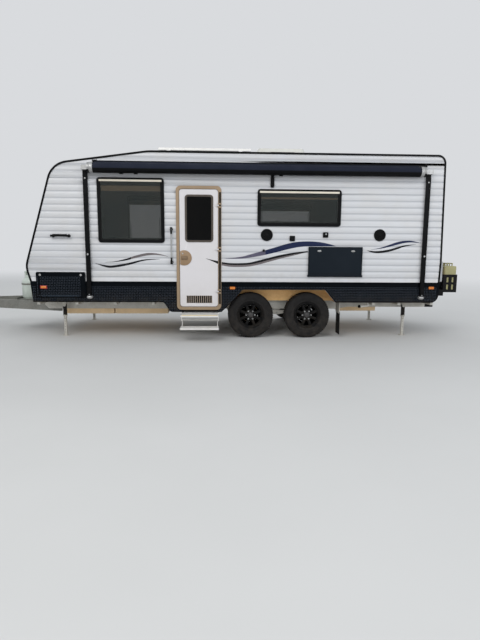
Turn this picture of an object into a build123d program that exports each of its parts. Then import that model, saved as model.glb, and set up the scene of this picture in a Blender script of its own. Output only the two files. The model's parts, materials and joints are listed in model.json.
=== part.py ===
from build123d import *
import math
import os

# Travel caravan on a tandem axle, standing unhitched on its wheels, corner legs and jockey wheel.
# Millimetres. Every size below is a station: X counts rearwards from the bow of the body,
# Y is across with the entrance side at minus Y, and Z counts up from the ground.
# The finished solids are moved once, so that the origin is the centre of the coupling's ball socket.

# Whole vehicle
COUPLING_TO_BOW = 1650.0
BALL_HEIGHT = 470.0
BODY_HALF_WIDTH = 1200.0
BODY_BOTTOM = 585.0
PANEL = 35.0
INNER_HALF_WIDTH = BODY_HALF_WIDTH - PANEL
CLADDING = 6.0
CORE_HALF_WIDTH = BODY_HALF_WIDTH - CLADDING
SEAT_GAP = 0.3
FOOT = (Align.CENTER, Align.CENTER, Align.MIN)
WHOLE_X = (-900.0, 9000.0)
WHOLE_Y = (-2000.0, 2000.0)

# Body side outline
BOW_X = -28.0
BOW_Z = 1135.0
FRONT_TOP_X = 440.0
FRONT_TOP_Z = 2695.0
ROOF_BREAK_X = 1890.0
ROOF_Z = 2892.0
REAR_TOP_X = 6500.0
REAR_BULGE_X = 6535.0
BODY_OUTLINE = [
    # x, z, corner radius
    (68.0, BODY_BOTTOM, 0.0),
    (38.0, 900.0, 300.0),
    (BOW_X, BOW_Z, 300.0),
    (FRONT_TOP_X, FRONT_TOP_Z, 350.0),
    (ROOF_BREAK_X, ROOF_Z, 900.0),
    (REAR_TOP_X, ROOF_Z, 130.0),
    (REAR_BULGE_X, 1268.0, 0.0),
    (6512.0, BODY_BOTTOM, 130.0),
]
FRONT_PANEL_END = 760.0
REAR_PANEL_TOP = 2740.0
FLOOR_THICKNESS = 40.0
FLOOR_TOP = BODY_BOTTOM + FLOOR_THICKNESS

# Black chequer skirt and edge trim
SKIRT_TOP = 912.0
SKIRT_THICKNESS = 4.0
SKIRT_FACE = BODY_HALF_WIDTH + SKIRT_THICKNESS
BEAD_HEIGHT = 22.0
BEAD_DEPTH = 12.0
TRIM_WIDTH = 26.0
TRIM_THICKNESS = 4.0
TRIM_RETURN = 40.0

# Ribbed cladding: grooves between its flat ribs
GROOVE_PITCH = 100.0
GROOVE_START = 70.0
GROOVE_MOUTH = 34.0
GROOVE_FLOOR = 24.0
GROOVE_DEPTH = 2.8

# Running gear
WHEEL_X = (3480.0, 4400.0)
TRACK_INSET = 170.0
TRACK_HALF = BODY_HALF_WIDTH - TRACK_INSET
TYRE_RADIUS = 366.5
TYRE_WIDTH = 235.0
RIM_SEAT_RADIUS = 190.0
RIM_FLANGE_RADIUS = 208.0
RIM_WIDTH = 178.0
RIM_WALL = 6.0
DRUM_RADIUS = 124.0
DRUM_DEPTH = (55.0, 130.0)
DISC_Z = (34.0, 50.0)
STUB_END = 44.0
STUB_RADIUS = 18.6
HUB_CLEARANCE = 0.4
AXLE_BEAM = 50.0
SPOKE_COUNT = 8
SPOKE_WINDOW = [
    # radius, half width
    (88.0, 13.0),
    (168.0, 46.0),
]
SPOKE_WINDOW_CORNER = 9.0
HUB_FLANGE_RADIUS = 62.0
HUB_CAP_RADIUS = 44.0
HUB_CAP_END = 84.0
SPARE_CENTRE_BORE = 54.0

# Leaf springs
SPRING_HALF = 330.0
SPRING_CAMBER = 55.0
AXLE_SEAT_GAP = 0.6
SPRING_WIDTH = 44.0
LEAF_THICKNESS = 8.0
LEAF_HALVES = (SPRING_HALF, 250.0, 180.0, 110.0)
EYE_RADIUS = 20.0
EYE_PIN = 8.0
CHEEK = 6.0
ROCKER_Z = 375.0

# Tyre section
TYRE_SECTION = [
    # radius, distance outboard, corner radius
    (RIM_SEAT_RADIUS + SEAT_GAP, -73.0, 0.0),
    (RIM_FLANGE_RADIUS + 2.0, -79.5, 0.0),
    (224.0, -104.0, 0.0),
    (292.0, -TYRE_WIDTH / 2, 60.0),
    (TYRE_RADIUS, -98.0, 26.0),
    (TYRE_RADIUS, 98.0, 26.0),
    (292.0, TYRE_WIDTH / 2, 60.0),
    (224.0, 104.0, 0.0),
    (RIM_FLANGE_RADIUS + 2.0, 79.5, 0.0),
    (RIM_SEAT_RADIUS + SEAT_GAP, 73.0, 0.0),
]

# Chassis
RAIL_WIDTH = 50.0
DRUM_TO_RAIL = 100.0
RAIL_OUTER = TRACK_HALF - DRUM_DEPTH[1] - DRUM_TO_RAIL
RAIL_INNER = RAIL_OUTER - RAIL_WIDTH
RAIL_DEPTH = 150.0
RAIL_BOTTOM = BODY_BOTTOM - RAIL_DEPTH
RAIL_FRONT = 100.0
RAIL_REAR = 6480.0
RAIL_TAPER = (4950.0, 5150.0)
RAIL_REAR_DEPTH = 115.0
JOIST_DEPTH = 50.0
JOIST_WIDTH = 50.0
OUTRIGGER_DEPTH = 45.0
OUTRIGGER_REACH = INNER_HALF_WIDTH - 15.0
JOIST_STATIONS = (
    126.0, 720.0, 1320.0, 1920.0, 2480.0, 3010.0, 3700.0, 4300.0, 4890.0, 5480.0, 5900.0, 6440.0,
)
DRAWBAR_TOP = BODY_BOTTOM - JOIST_DEPTH
DRAWBAR_DEPTH = 150.0
DRAWBAR_WIDTH = 50.0
DRAWBAR_APEX = -1520.0
DRAWBAR_END = 350.0
MEMBER_SLOPE = (RAIL_INNER - DRAWBAR_WIDTH / 2) / (COUPLING_TO_BOW + DRAWBAR_END)
CROSSBAR_X = (-150.0, -100.0)
TRAY_X = (-505.0, -155.0)
TRAY_HALF = 430.0
LUG_Z = (440.0, 452.0)
LUG_BORE = 8.0
TANKS = [
    # x range, underside
    ((380.0, 1215.0), 342.0),
    ((1235.0, 2110.0), 342.0),
    ((5000.0, 5640.0), 395.0),
]
WASTE_BEND = (5425.0, -1000.0, 515.0)
WASTE_RUN = (-130.0, -26.0, -10.0)
WASTE_RADIUS = 21.0

# Wheel boxes
BOX_FRONT = WHEEL_X[0] - 440.0
BOX_REAR = WHEEL_X[1] + 460.0
BOX_INNER = TRACK_HALF - 150.0
BOX_TOP = 818.0
BOX_WALL = 12.0
ARCH_TOP = 788.0
ARCH_REAR = BOX_REAR - 22.0
ARCH_OUTLINE = [
    # x, z, corner radius
    (BOX_FRONT - 80.0, BODY_BOTTOM - 205.0, 0.0),
    (BOX_FRONT - 10.0, BODY_BOTTOM - 135.0, 0.0),
    (BOX_FRONT + 128.0, BODY_BOTTOM, 60.0),
    (BOX_FRONT + 306.0, ARCH_TOP, 40.0),
    (ARCH_REAR - 170.0, ARCH_TOP, 40.0),
    (ARCH_REAR, BODY_BOTTOM, 0.0),
    (ARCH_REAR, BODY_BOTTOM - 205.0, 0.0),
]

# Entry door
DOOR_FRAME_X = (2305.0, 3005.0)
DOOR_FRAME_Z = (468.0, 2382.0)
FRAME_FACE = 46.0
FRAME_PROUD = 18.0
FRAME_LAP = 20.0
DOOR_GAP = 6.0
DOOR_THICKNESS = 32.0
DOOR_PROUD = 10.0
DOOR_CORNER = 70.0
DOOR_WINDOW_X = (2453.0, 2868.0)
DOOR_WINDOW_Z = (1540.0, 2238.0)
DOOR_VENT_X = (2460.0, 2857.0)
DOOR_VENT_Z = (566.0, 700.0)
DOOR_VENT_SLOTS = 12
LOCK_CENTRE = (2424.0, 1285.0)
LOCK_RADIUS = 120.0
HINGE_RADIUS = 8.0
HINGE_PIN = 4.0
HINGE_HEIGHTS = (760.0, 1420.0, 2090.0)
HINGE_LENGTH = 70.0
HINGE_STRAP = 4.0
HINGE_REACH = 40.0
HINGE_FOOT = 14.0
LOCK_PROUD = 5.0
HANDLE_PROUD = 22.0
HANDLE_HALF = (40.0, 18.0)
HANDLE_SHIFT = 6.0
VENT_BAR = 10.0
APRON_BOTTOM = DOOR_FRAME_Z[0] - 38.0
APRON_OUTLINE = [
    # x, z, corner radius
    (DOOR_FRAME_X[0] - 295.0, BODY_BOTTOM + 20.0, 0.0),
    (DOOR_FRAME_X[0] - 207.0, BODY_BOTTOM - 5.0, 60.0),
    (DOOR_FRAME_X[0] - 105.0, APRON_BOTTOM, 70.0),
    (DOOR_FRAME_X[1] + 5.0, APRON_BOTTOM, 0.0),
    (DOOR_FRAME_X[1] + 195.0, BODY_BOTTOM + 20.0, 0.0),
]

# Windows: x from, x to, z from, z to
WINDOWS = {
    "bedroom": (1110.0, 2126.0, 1512.0, 2490.0),
    "saloon": (3565.0, 4876.0, 1783.0, 2345.0),
}
WINDOW_BORDER = 42.0
WINDOW_LAP = 22.0
WINDOW_PROUD = 18.0
WINDOW_CORNER = 45.0
PANE_THICKNESS = 5.0
PANE_INSET = 6.0

# Tunnel boot doors
BOOT_X = (130.0, 885.0)
BOOT_Z = (664.0, 1056.0)
BOOT_THICKNESS = 26.0
BOOT_LAP = 24.0
BOOT_CORNER = 20.0
BOOT_HINGE_RADIUS = 7.0
BED_BASE_Z = 1092.0
BED_BASE_THICKNESS = 18.0
BED_BULKHEAD_X = 920.0

# Picnic table
TABLE_X = (4380.0, 5240.0)
TABLE_Z = (996.0, 1470.0)
TABLE_TRAY = 14.0
TABLE_THICKNESS = 22.0

# Awning
AWNING_X = (1090.0, 6060.0)
AWNING_Z = 2618.0
AWNING_RADIUS = 72.0
AWNING_CAP_LENGTH = 85.0
AWNING_STANDOFF = 96.0
AWNING_RAIL_Z = (2712.0, 2736.0)
AWNING_RAIL_DEPTH = 14.0
AWNING_ARM_X = (947.0, 6228.0)
AWNING_ARM_WIDTH = 66.0
AWNING_ARM_DEPTH = 34.0
AWNING_ARM_Z = (690.0, 2590.0)
AWNING_CRADLE_X = 3790.0

# Corner legs
LEG_X = {"front": 455.0, "rear": 6065.0}
LEG_Y = BODY_HALF_WIDTH - 295.0
LEG_SLEEVE = 50.0
LEG_TUBE = 40.0
LEG_SLEEVE_END = 330.0
LEG_PIVOT_Z = 500.0
LEG_PIN = 8.0
LEG_CHEEK = 6.0
LEG_SIDE_GAP = 1.0
LEG_FOOT = 90.0
LEG_FOOT_THICKNESS = 8.0

# Entry step
STEP_X = (2374.0, 2964.0)
STEP_UPPER_Z = 392.0
STEP_LOWER_Z = 212.0
STEP_TREAD = 26.0
STEP_UPPER_Y = (-BODY_HALF_WIDTH - 240.0, -BODY_HALF_WIDTH - 22.0)
STEP_LOWER_Y = (-BODY_HALF_WIDTH - 360.0, -BODY_HALF_WIDTH - 140.0)
STEP_SIDE = 12.0
STEP_HINGE = (-BODY_HALF_WIDTH - 52.0, 312.0)
STEP_BAR = 12.0
STEP_SLATS = 5
STEP_GROOVE = (14.0, 4.0)
STEP_BORDER = 30.0
STEP_RUNNER_END = -RAIL_OUTER - 100.0
STEP_GUIDE_END = INNER_HALF_WIDTH - 5.0
STEP_GUIDE_WIDTH = 28.0
STEP_ARM = 10.0

# Mud flaps
FLAP_X = BOX_REAR + 66.0
FLAP_THICKNESS = 8.0
FLAP_INNER = TRACK_HALF - 115.0
FLAP_Y = (-OUTRIGGER_REACH, -FLAP_INNER)
FLAP_Z = (55.0, 430.0)

# Wall fittings: x, z
SPEAKERS = ((3716.0, 1648.0), (5509.0, 1658.0))
SPEAKER_RADIUS = 94.0
OUTLETS = ((4118.0, 1597.0), (4644.0, 1655.0))
OUTLET_SIZE = 82.0
KNOB = (3671.0, 1407.0)
GRAB_HANDLES = (
    ((2230.0, 1215.0), (2230.0, 1723.0)),
    ((422.0, 1610.0), (660.0, 1610.0)),
)
MARKERS = ((3183.0, 815.0), (6392.0, 826.0))
MARKER_SIZE = (84.0, 40.0)
TAIL_LAMP_X = 6580.0
TAIL_LAMP_WIDTH = 78.0
TAIL_LAMP_Z = (925.0, 1250.0)
LAMP_GAP = 3.0

# Roof fittings
SOLAR_LIFT = 60.0
SOLAR_THICKNESS = 35.0
SOLAR_PANELS = [
    # x range, y range
    ((2020.0, 3470.0), (-960.0, -300.0)),
    ((2020.0, 3470.0), (300.0, 960.0)),
]
AIRCON_X = 4030.0
AIRCON_SIZE = (980.0, 700.0, 240.0)
HATCH_X = (5400.0, 5800.0)
HATCH_WIDTH = 400.0
HATCH_CURB = 40.0
HATCH_RIM = 25.0

# Drawbar fittings
CYLINDER_RADIUS = 155.0
CYLINDER_X = -330.0
CYLINDER_Y = 205.0
CYLINDER_HEIGHT = 395.0
CYLINDER_FOOT = 132.0
CYLINDER_NECK = 62.0
COLLAR_RADIUS = 104.0
COLLAR_WALL = 5.0
COLLAR_HEIGHT = 106.0
TRAY_THICKNESS = 8.0
CLAMP_Z = (786.0, 812.0)
SOCKET_SKIRT = 22.0
HEAD_RADIUS = 41.0
HEAD_RISE = 26.0
CHANNEL_LENGTH = 300.0
CHANNEL_RISE = 34.0
HANDBRAKE_X = (-1180.0, -1080.0)
HANDBRAKE_Y = (170.0, 230.0)
BALL_BORE = 25.3
JOCKEY_X = -1190.0
JOCKEY_Y = -255.0
JOCKEY_TUBE = 30.0
JOCKEY_AXLE = 8.0
JOCKEY_CRANK = 120.0
JOCKEY_STEM = 24.0
JOCKEY_WHEEL_RADIUS = 105.0
JOCKEY_WHEEL_WIDTH = 60.0
JOCKEY_TRAIL = 62.0
JOCKEY_SLEEVE_Z = (330.0, 860.0)
JOCKEY_STEM_TOP = 700.0
JOCKEY_FORK_Z = 230.0
JOCKEY_FORK_HALF = 41.0

# Rear carrier
CARRIER_X = (6566.0, 6650.0)
CARRIER_Z = (690.0, 790.0)
CARRIER_HALF = 1090.0
CAN_HOLDER_X = (CARRIER_X[1], CARRIER_X[1] + 230.0)
CAN_HOLDER_Y = (690.0, 1065.0)
CAN_HOLDER_Z = (745.0, 1036.0)
CAN_WALL = 6.0
CAN_GAP = 5.0
CAN_TOP = 1225.0
SPARE_Z = 1180.0
SPARE_X = 6735.0


def block(x_range, y_range, z_range):
    """Box between two corners given as ranges."""
    size = [high - low for low, high in (x_range, y_range, z_range)]
    middle = [(high + low) / 2 for low, high in (x_range, y_range, z_range)]
    return Pos(*middle) * Box(*size)


def outline(rows):
    """Closed face through rows of x, z and corner radius."""
    points = [(x, z) for x, z, _ in rows]
    radii = [radius for _, _, radius in rows]
    return make_face(FilletPolyline(*points, radius=radii, close=True))


def opening(x_range, z_range, radius):
    """Rounded rectangle in the side view."""
    width = x_range[1] - x_range[0]
    height = z_range[1] - z_range[0]
    centre = Pos((x_range[0] + x_range[1]) / 2, (z_range[0] + z_range[1]) / 2)
    if radius <= 0:
        return centre * Rectangle(width, height)
    return centre * RectangleRounded(width, height, radius)


def across(face, y_range):
    """Side view face given its thickness between two Y stations."""
    low, high = y_range
    return extrude(Plane.XZ.offset(-high) * face, amount=high - low)


def rod(start, end, radius):
    """Round bar between two points."""
    line = Vector(*end) - Vector(*start)
    base = Plane(origin=start, z_dir=line)
    return base * Cylinder(radius, line.length, align=(Align.CENTER, Align.CENTER, Align.MIN))


def tube_run(start, end, width, height):
    """Rectangular bar between two points at one height, its top face level."""
    line = Vector(*end) - Vector(*start)
    side = Plane(origin=start, x_dir=Vector(0, 0, 1).cross(line), z_dir=line)
    return side * Box(width, height, line.length, align=(Align.CENTER, Align.CENTER, Align.MIN))


def spun(rows):
    """Ring turned about the local Z axis from rows of radius, height and corner radius."""
    return revolve(Plane.XZ * outline(rows), Axis.Z)


def other_side(part):
    """Copy on the far side of the centre plane."""
    return mirror(part, about=Plane.XZ)


def both_sides(part):
    """The part and its copy on the far side, as separate solids."""
    return Compound(children=[*part.solids(), *other_side(part).solids()])


def grown(range_pair, amount):
    """Range opened by an amount at both ends."""
    return (range_pair[0] - amount, range_pair[1] + amount)


PLACE = Pos(COUPLING_TO_BOW, 0, -BALL_HEIGHT)


def save(name, *parts):
    """Write one node from its solids."""
    solids = [solid for part in parts for solid in part.solids()]
    export_step(PLACE * Compound(children=solids), f"parts/{name}.step")


def body_panels():
    """Front wall, roof, rear wall and floor between the side walls."""
    core_range = (-INNER_HALF_WIDTH, INNER_HALF_WIDTH)
    core = across(outline(BODY_OUTLINE), core_range)
    deep = [row if row[1] > BODY_BOTTOM else (row[0], BODY_BOTTOM - 400.0, 0.0) for row in BODY_OUTLINE]
    hollow = across(offset(outline(deep), amount=-PANEL), core_range)
    ring = core - hollow
    everywhere = (-9000.0, 9000.0)
    front_zone = block((-500.0, FRONT_PANEL_END), core_range, everywhere)
    rear_zone = block((REAR_TOP_X - 400.0, 9000.0), core_range, (0.0, REAR_PANEL_TOP))
    front = ring & front_zone
    rear = ring & rear_zone
    roof = ring - front_zone - rear_zone
    half_hole = HATCH_WIDTH / 2 - HATCH_RIM
    roof = roof - block(grown(HATCH_X, -HATCH_RIM), (-half_hole, half_hole), (ROOF_Z - 200.0, ROOF_Z + 50.0))
    floor = (core - ring) & block(everywhere, core_range, (0.0, FLOOR_TOP))
    box_zone = block((BOX_FRONT, BOX_REAR), (BOX_INNER, INNER_HALF_WIDTH), (0.0, FLOOR_TOP))
    floor = floor - box_zone - other_side(box_zone)
    return front, roof, rear, floor, hollow


def wall_face():
    """Outline of the body's side with its wheel arch."""
    return outline(BODY_OUTLINE) - outline(ARCH_OUTLINE)


def side_face(entrance):
    """Outline of a side wall with its openings, and with the door apron on the entrance side."""
    face = wall_face()
    if entrance:
        face = face + (outline(APRON_OUTLINE) - outline(ARCH_OUTLINE))
        face = face - opening(grown(DOOR_FRAME_X, -FRAME_LAP), grown(DOOR_FRAME_Z, -FRAME_LAP), DOOR_CORNER)
    for x_from, x_to, z_from, z_to in WINDOWS.values():
        face = face - opening(
            grown((x_from, x_to), -WINDOW_LAP), grown((z_from, z_to), -WINDOW_LAP),
            WINDOW_CORNER - WINDOW_LAP / 2
        )
    face = face - opening(grown(BOOT_X, -BOOT_LAP), grown(BOOT_Z, -BOOT_LAP), 0)
    return face


def cladding(face):
    """Ribbed skin of one side at minus Y from the wall's outline, flat where the skirt covers it."""
    skin = across(face, (-BODY_HALF_WIDTH, -CORE_HALF_WIDTH))
    mouth, floor = GROOVE_MOUTH / 2, GROOVE_FLOOR / 2
    bottom = -BODY_HALF_WIDTH + GROOVE_DEPTH
    centre = SKIRT_TOP + GROOVE_START
    while centre < ROOF_Z:
        section = Polyline(
            (-BODY_HALF_WIDTH - 1.0, centre - mouth),
            (-BODY_HALF_WIDTH, centre - mouth),
            (bottom, centre - floor),
            (bottom, centre + floor),
            (-BODY_HALF_WIDTH, centre + mouth),
            (-BODY_HALF_WIDTH - 1.0, centre + mouth),
            close=True,
        )
        profile = Plane.YZ.offset(BOW_X - PANEL) * make_face(section)
        groove = extrude(profile, amount=REAR_BULGE_X + 2 * PANEL - BOW_X)
        skin = skin - groove
        centre += GROOVE_PITCH
    return skin


def edge_trim():
    """Black edge extrusion round the front, roof and rear of one side."""
    body = outline(BODY_OUTLINE)
    face_strip = across(body - offset(body, amount=-TRIM_WIDTH), (-SKIRT_FACE, -BODY_HALF_WIDTH))
    cap = across(offset(body, amount=TRIM_THICKNESS) - body, (-SKIRT_FACE, -SKIRT_FACE + TRIM_RETURN))
    return (face_strip + cap) & block(WHOLE_X, WHOLE_Y, (SKIRT_TOP, 4000.0))


def skirt():
    """Chequer plate round the foot of the body with its top bead."""
    low_zone = block(WHOLE_X, WHOLE_Y, (0.0, SKIRT_TOP))
    body = outline(BODY_OUTLINE)
    boot = opening(BOOT_X, BOOT_FRAME_Z, BOOT_CORNER)
    far_face = wall_face() - boot
    near_face = far_face + (outline(APRON_OUTLINE) - outline(ARCH_OUTLINE))
    near_face = near_face - opening(DOOR_FRAME_X, DOOR_FRAME_Z, DOOR_CORNER)
    near = across(near_face, (-SKIRT_FACE, -BODY_HALF_WIDTH)) & low_zone
    far = across(far_face, (BODY_HALF_WIDTH, SKIRT_FACE)) & low_zone
    wrap = across(offset(body, amount=SKIRT_THICKNESS) - body, (-SKIRT_FACE, SKIRT_FACE)) & low_zone
    wrap = wrap & block(WHOLE_X, WHOLE_Y, (BODY_BOTTOM, SKIRT_TOP))
    bead_z = (SKIRT_TOP - BEAD_HEIGHT, SKIRT_TOP)
    for side, spans in (
        (-1, ((BOOT_X[1], DOOR_FRAME_X[0]), (DOOR_FRAME_X[1], REAR_TOP_X))),
        (1, ((BOOT_X[1], REAR_TOP_X),)),
    ):
        y_range = sorted((side * SKIRT_FACE, side * (BODY_HALF_WIDTH + BEAD_DEPTH)))
        for span in spans:
            bead = block(grown(span, -6.0), y_range, bead_z)
            if side < 0:
                near = near + bead
            else:
                far = far + bead
    return near + wrap + far


def wheel_box():
    """Open box over the pair of wheels at minus Y."""
    x_range = (BOX_FRONT, BOX_REAR)
    shell = block(x_range, (-INNER_HALF_WIDTH, -BOX_INNER), (BODY_BOTTOM, BOX_TOP))
    hollow = block(
        grown(x_range, -BOX_WALL), (-INNER_HALF_WIDTH - 10.0, -BOX_INNER - BOX_WALL),
        (0.0, BOX_TOP - BOX_WALL)
    )
    return shell - hollow


def window_parts():
    """Frame and pane of every window at minus Y."""
    frames, panes = [], []
    for x_from, x_to, z_from, z_to in WINDOWS.values():
        x_range, z_range = (x_from, x_to), (z_from, z_to)
        clear = opening(grown(x_range, -WINDOW_BORDER), grown(z_range, -WINDOW_BORDER), WINDOW_CORNER / 2)
        flange = opening(x_range, z_range, WINDOW_CORNER) - clear
        lap = grown(x_range, -WINDOW_LAP - SEAT_GAP), grown(z_range, -WINDOW_LAP - SEAT_GAP)
        jamb = opening(*lap, WINDOW_CORNER - WINDOW_LAP / 2) - clear
        frames.append(
            across(flange, (-BODY_HALF_WIDTH - WINDOW_PROUD, -BODY_HALF_WIDTH))
            + across(jamb, (-BODY_HALF_WIDTH, -INNER_HALF_WIDTH))
        )
        pane = opening(
            grown(x_range, -WINDOW_BORDER - SEAT_GAP), grown(z_range, -WINDOW_BORDER - SEAT_GAP),
            WINDOW_CORNER / 2
        )
        outer = -BODY_HALF_WIDTH - WINDOW_PROUD + PANE_INSET
        panes.append(across(pane, (outer, outer + PANE_THICKNESS)))
    return Compound(children=frames), Compound(children=panes)


DOOR_OPENING_X = grown(DOOR_FRAME_X, -FRAME_FACE)
DOOR_OPENING_Z = grown(DOOR_FRAME_Z, -FRAME_FACE)
LEAF_X = grown(DOOR_OPENING_X, -DOOR_GAP)
LEAF_Z = grown(DOOR_OPENING_Z, -DOOR_GAP)
LEAF_FACE = -BODY_HALF_WIDTH - DOOR_PROUD
FRAME_SURFACE = -BODY_HALF_WIDTH - FRAME_PROUD
HINGE_AXIS_X = (LEAF_X[1] + DOOR_OPENING_X[1]) / 2
HINGE_AXIS_Y = FRAME_SURFACE - HINGE_RADIUS - 2.0


def hinge_rod(low, high, radius):
    """Round piece on the door's hinge line between two heights."""
    return rod((HINGE_AXIS_X, HINGE_AXIS_Y, low), (HINGE_AXIS_X, HINGE_AXIS_Y, high), radius)


def door_frame():
    """Door frame with its hinge knuckles and pins."""
    clear = opening(DOOR_OPENING_X, DOOR_OPENING_Z, DOOR_CORNER - FRAME_LAP)
    flange = opening(DOOR_FRAME_X, DOOR_FRAME_Z, DOOR_CORNER) - clear
    lap = FRAME_LAP + SEAT_GAP
    jamb = opening(grown(DOOR_FRAME_X, -lap), grown(DOOR_FRAME_Z, -lap), DOOR_CORNER) - clear
    frame = across(flange, (FRAME_SURFACE, -BODY_HALF_WIDTH))
    frame = frame + across(jamb, (-BODY_HALF_WIDTH, -INNER_HALF_WIDTH))
    third = HINGE_LENGTH / 3
    for height in HINGE_HEIGHTS:
        frame = frame + hinge_rod(height - HINGE_LENGTH / 2, height + HINGE_LENGTH / 2, HINGE_PIN)
        for low in (height - HINGE_LENGTH / 2, height + HINGE_LENGTH / 2 - third):
            z_range = (low, low + third)
            strap_end = DOOR_FRAME_X[1] - HINGE_RADIUS
            strap = block((HINGE_AXIS_X, strap_end), (HINGE_AXIS_Y, HINGE_AXIS_Y + HINGE_STRAP), z_range)
            foot = block((HINGE_AXIS_X + HINGE_FOOT, strap_end), (HINGE_AXIS_Y, FRAME_SURFACE), z_range)
            knuckle = hinge_rod(*z_range, HINGE_RADIUS)
            frame = frame + knuckle + strap + foot
    return frame


def door_leaf():
    """Door panel with its window opening, vent slots, lock plate and hinge knuckles."""
    face = opening(LEAF_X, LEAF_Z, DOOR_CORNER - FRAME_LAP - DOOR_GAP)
    face = face - opening(DOOR_WINDOW_X, DOOR_WINDOW_Z, WINDOW_CORNER)
    leaf = across(face, (LEAF_FACE, LEAF_FACE + DOOR_THICKNESS))
    pitch = (DOOR_VENT_X[1] - DOOR_VENT_X[0]) / DOOR_VENT_SLOTS
    for index in range(DOOR_VENT_SLOTS):
        left = DOOR_VENT_X[0] + index * pitch
        slot = opening(grown((left, left + pitch), -VENT_BAR / 2), grown(DOOR_VENT_Z, -8.0), 3.0)
        leaf = leaf - across(slot, grown((LEAF_FACE, LEAF_FACE + DOOR_THICKNESS), 5.0))
    disc = Pos(*LOCK_CENTRE) * Circle(LOCK_RADIUS) & opening(grown(LEAF_X, -4.0), LEAF_Z, 0)
    leaf = leaf + across(disc, (LEAF_FACE - LOCK_PROUD, LEAF_FACE))
    handle_x = LOCK_CENTRE[0] + HANDLE_SHIFT
    handle = opening(
        grown((handle_x, handle_x), HANDLE_HALF[0]),
        grown((LOCK_CENTRE[1], LOCK_CENTRE[1]), HANDLE_HALF[1]), 10.0
    )
    leaf = leaf + across(handle, (LEAF_FACE - HANDLE_PROUD, LEAF_FACE - LOCK_PROUD))
    third = HINGE_LENGTH / 3
    for height in HINGE_HEIGHTS:
        z_range = (height - third / 2 + 1.0, height + third / 2 - 1.0)
        strap_start = HINGE_AXIS_X - HINGE_REACH
        strap = block((strap_start, HINGE_AXIS_X), (HINGE_AXIS_Y, HINGE_AXIS_Y + HINGE_STRAP), z_range)
        foot = block((strap_start, HINGE_AXIS_X - HINGE_FOOT), (HINGE_AXIS_Y, LEAF_FACE), z_range)
        knuckle = hinge_rod(*z_range, HINGE_RADIUS)
        bore = hinge_rod(height - HINGE_LENGTH, height + HINGE_LENGTH, HINGE_PIN + SEAT_GAP)
        leaf = leaf + (knuckle + strap + foot - bore)
    return leaf


def door_glass():
    """Framed pane in the door."""
    pane = opening(grown(DOOR_WINDOW_X, -SEAT_GAP), grown(DOOR_WINDOW_Z, -SEAT_GAP), WINDOW_CORNER)
    return across(pane, (LEAF_FACE + 4.0, LEAF_FACE + DOOR_THICKNESS - 8.0))


BOOT_SURFACE = -BODY_HALF_WIDTH - BOOT_THICKNESS
BOOT_AXIS = (BOOT_SURFACE - BOOT_HINGE_RADIUS - 1.0, BOOT_Z[0] + BOOT_HINGE_RADIUS + 3.0)
BOOT_FRAME_Z = (BOOT_Z[0] - 12.0, BOOT_Z[1])
BOOT_PIN = 3.0
BOOT_HINGE_X = (250.0, 765.0)
BOOT_HINGE_LENGTH = 60.0


def boot_door():
    """Lid of the tunnel boot at minus Y, hinged along its lower edge."""
    lid = across(
        opening(grown(BOOT_X, -3.0), (BOOT_Z[0] + 3.0, BOOT_Z[1] - 3.0), BOOT_CORNER),
        (BOOT_SURFACE, -SKIRT_FACE - 2.0),
    )
    panel = across(
        opening(grown(BOOT_X, -40.0), grown(BOOT_Z, -40.0), BOOT_CORNER),
        (BOOT_SURFACE - 1.0, BOOT_SURFACE + 4.0)
    )
    lid = lid - panel
    for x in BOOT_HINGE_X:
        span = (x - BOOT_HINGE_LENGTH / 2, x + BOOT_HINGE_LENGTH / 2)
        knuckle = rod((span[0], *BOOT_AXIS), (span[1], *BOOT_AXIS), BOOT_HINGE_RADIUS)
        strap = block(span, (BOOT_AXIS[0], BOOT_SURFACE), (BOOT_AXIS[1], BOOT_AXIS[1] + BOOT_HINGE_RADIUS))
        bore = rod((span[0] - 1.0, *BOOT_AXIS), (span[1] + 1.0, *BOOT_AXIS), BOOT_PIN + SEAT_GAP)
        lid = lid + (knuckle + strap - bore)
    return lid


def boot_frame():
    """Surround of the tunnel boot opening at minus Y with its hinge ears and pins."""
    ring = opening(grown(BOOT_X, -BOOT_LAP - SEAT_GAP), grown(BOOT_Z, -BOOT_LAP - SEAT_GAP), 0) - opening(
        grown(BOOT_X, -BOOT_LAP - 10.0), grown(BOOT_Z, -BOOT_LAP - 10.0), 0
    )
    frame = across(ring, (-SKIRT_FACE, -INNER_HALF_WIDTH))
    rim = opening(BOOT_X, BOOT_FRAME_Z, BOOT_CORNER) - opening(
        grown(BOOT_X, -BOOT_LAP - 10.0), grown(BOOT_Z, -BOOT_LAP - 10.0), 0
    )
    frame = frame + across(rim, (-SKIRT_FACE, -BODY_HALF_WIDTH))
    for x in BOOT_HINGE_X:
        for side in (-1, 1):
            start = x + side * (BOOT_HINGE_LENGTH / 2 + 1.0)
            ends = sorted((start, start + side * 14.0))
            knuckle = rod((ends[0], *BOOT_AXIS), (ends[1], *BOOT_AXIS), BOOT_HINGE_RADIUS)
            front_y = (BOOT_AXIS[0] - BOOT_HINGE_RADIUS, BOOT_AXIS[0])
            foot = block(ends, (front_y[0], -SKIRT_FACE), (BOOT_FRAME_Z[0], BOOT_Z[0] - 2.0))
            riser = block(ends, front_y, (BOOT_FRAME_Z[0], BOOT_AXIS[1]))
            frame = frame + knuckle + foot + riser
        reach = BOOT_HINGE_LENGTH / 2 + 8.0
        frame = frame + rod((x - reach, *BOOT_AXIS), (x + reach, *BOOT_AXIS), BOOT_PIN)
    return frame


TABLE_SURFACE = -BODY_HALF_WIDTH - TABLE_TRAY - TABLE_THICKNESS
TABLE_LEAF = TABLE_THICKNESS - 3.0
TABLE_AXIS = (TABLE_SURFACE + 7.0, TABLE_Z[0] + 14.0)
TABLE_PIN = 4.0
TABLE_PIN_DEPTH = 24.0
TABLE_CHEEK = 8.0


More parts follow.
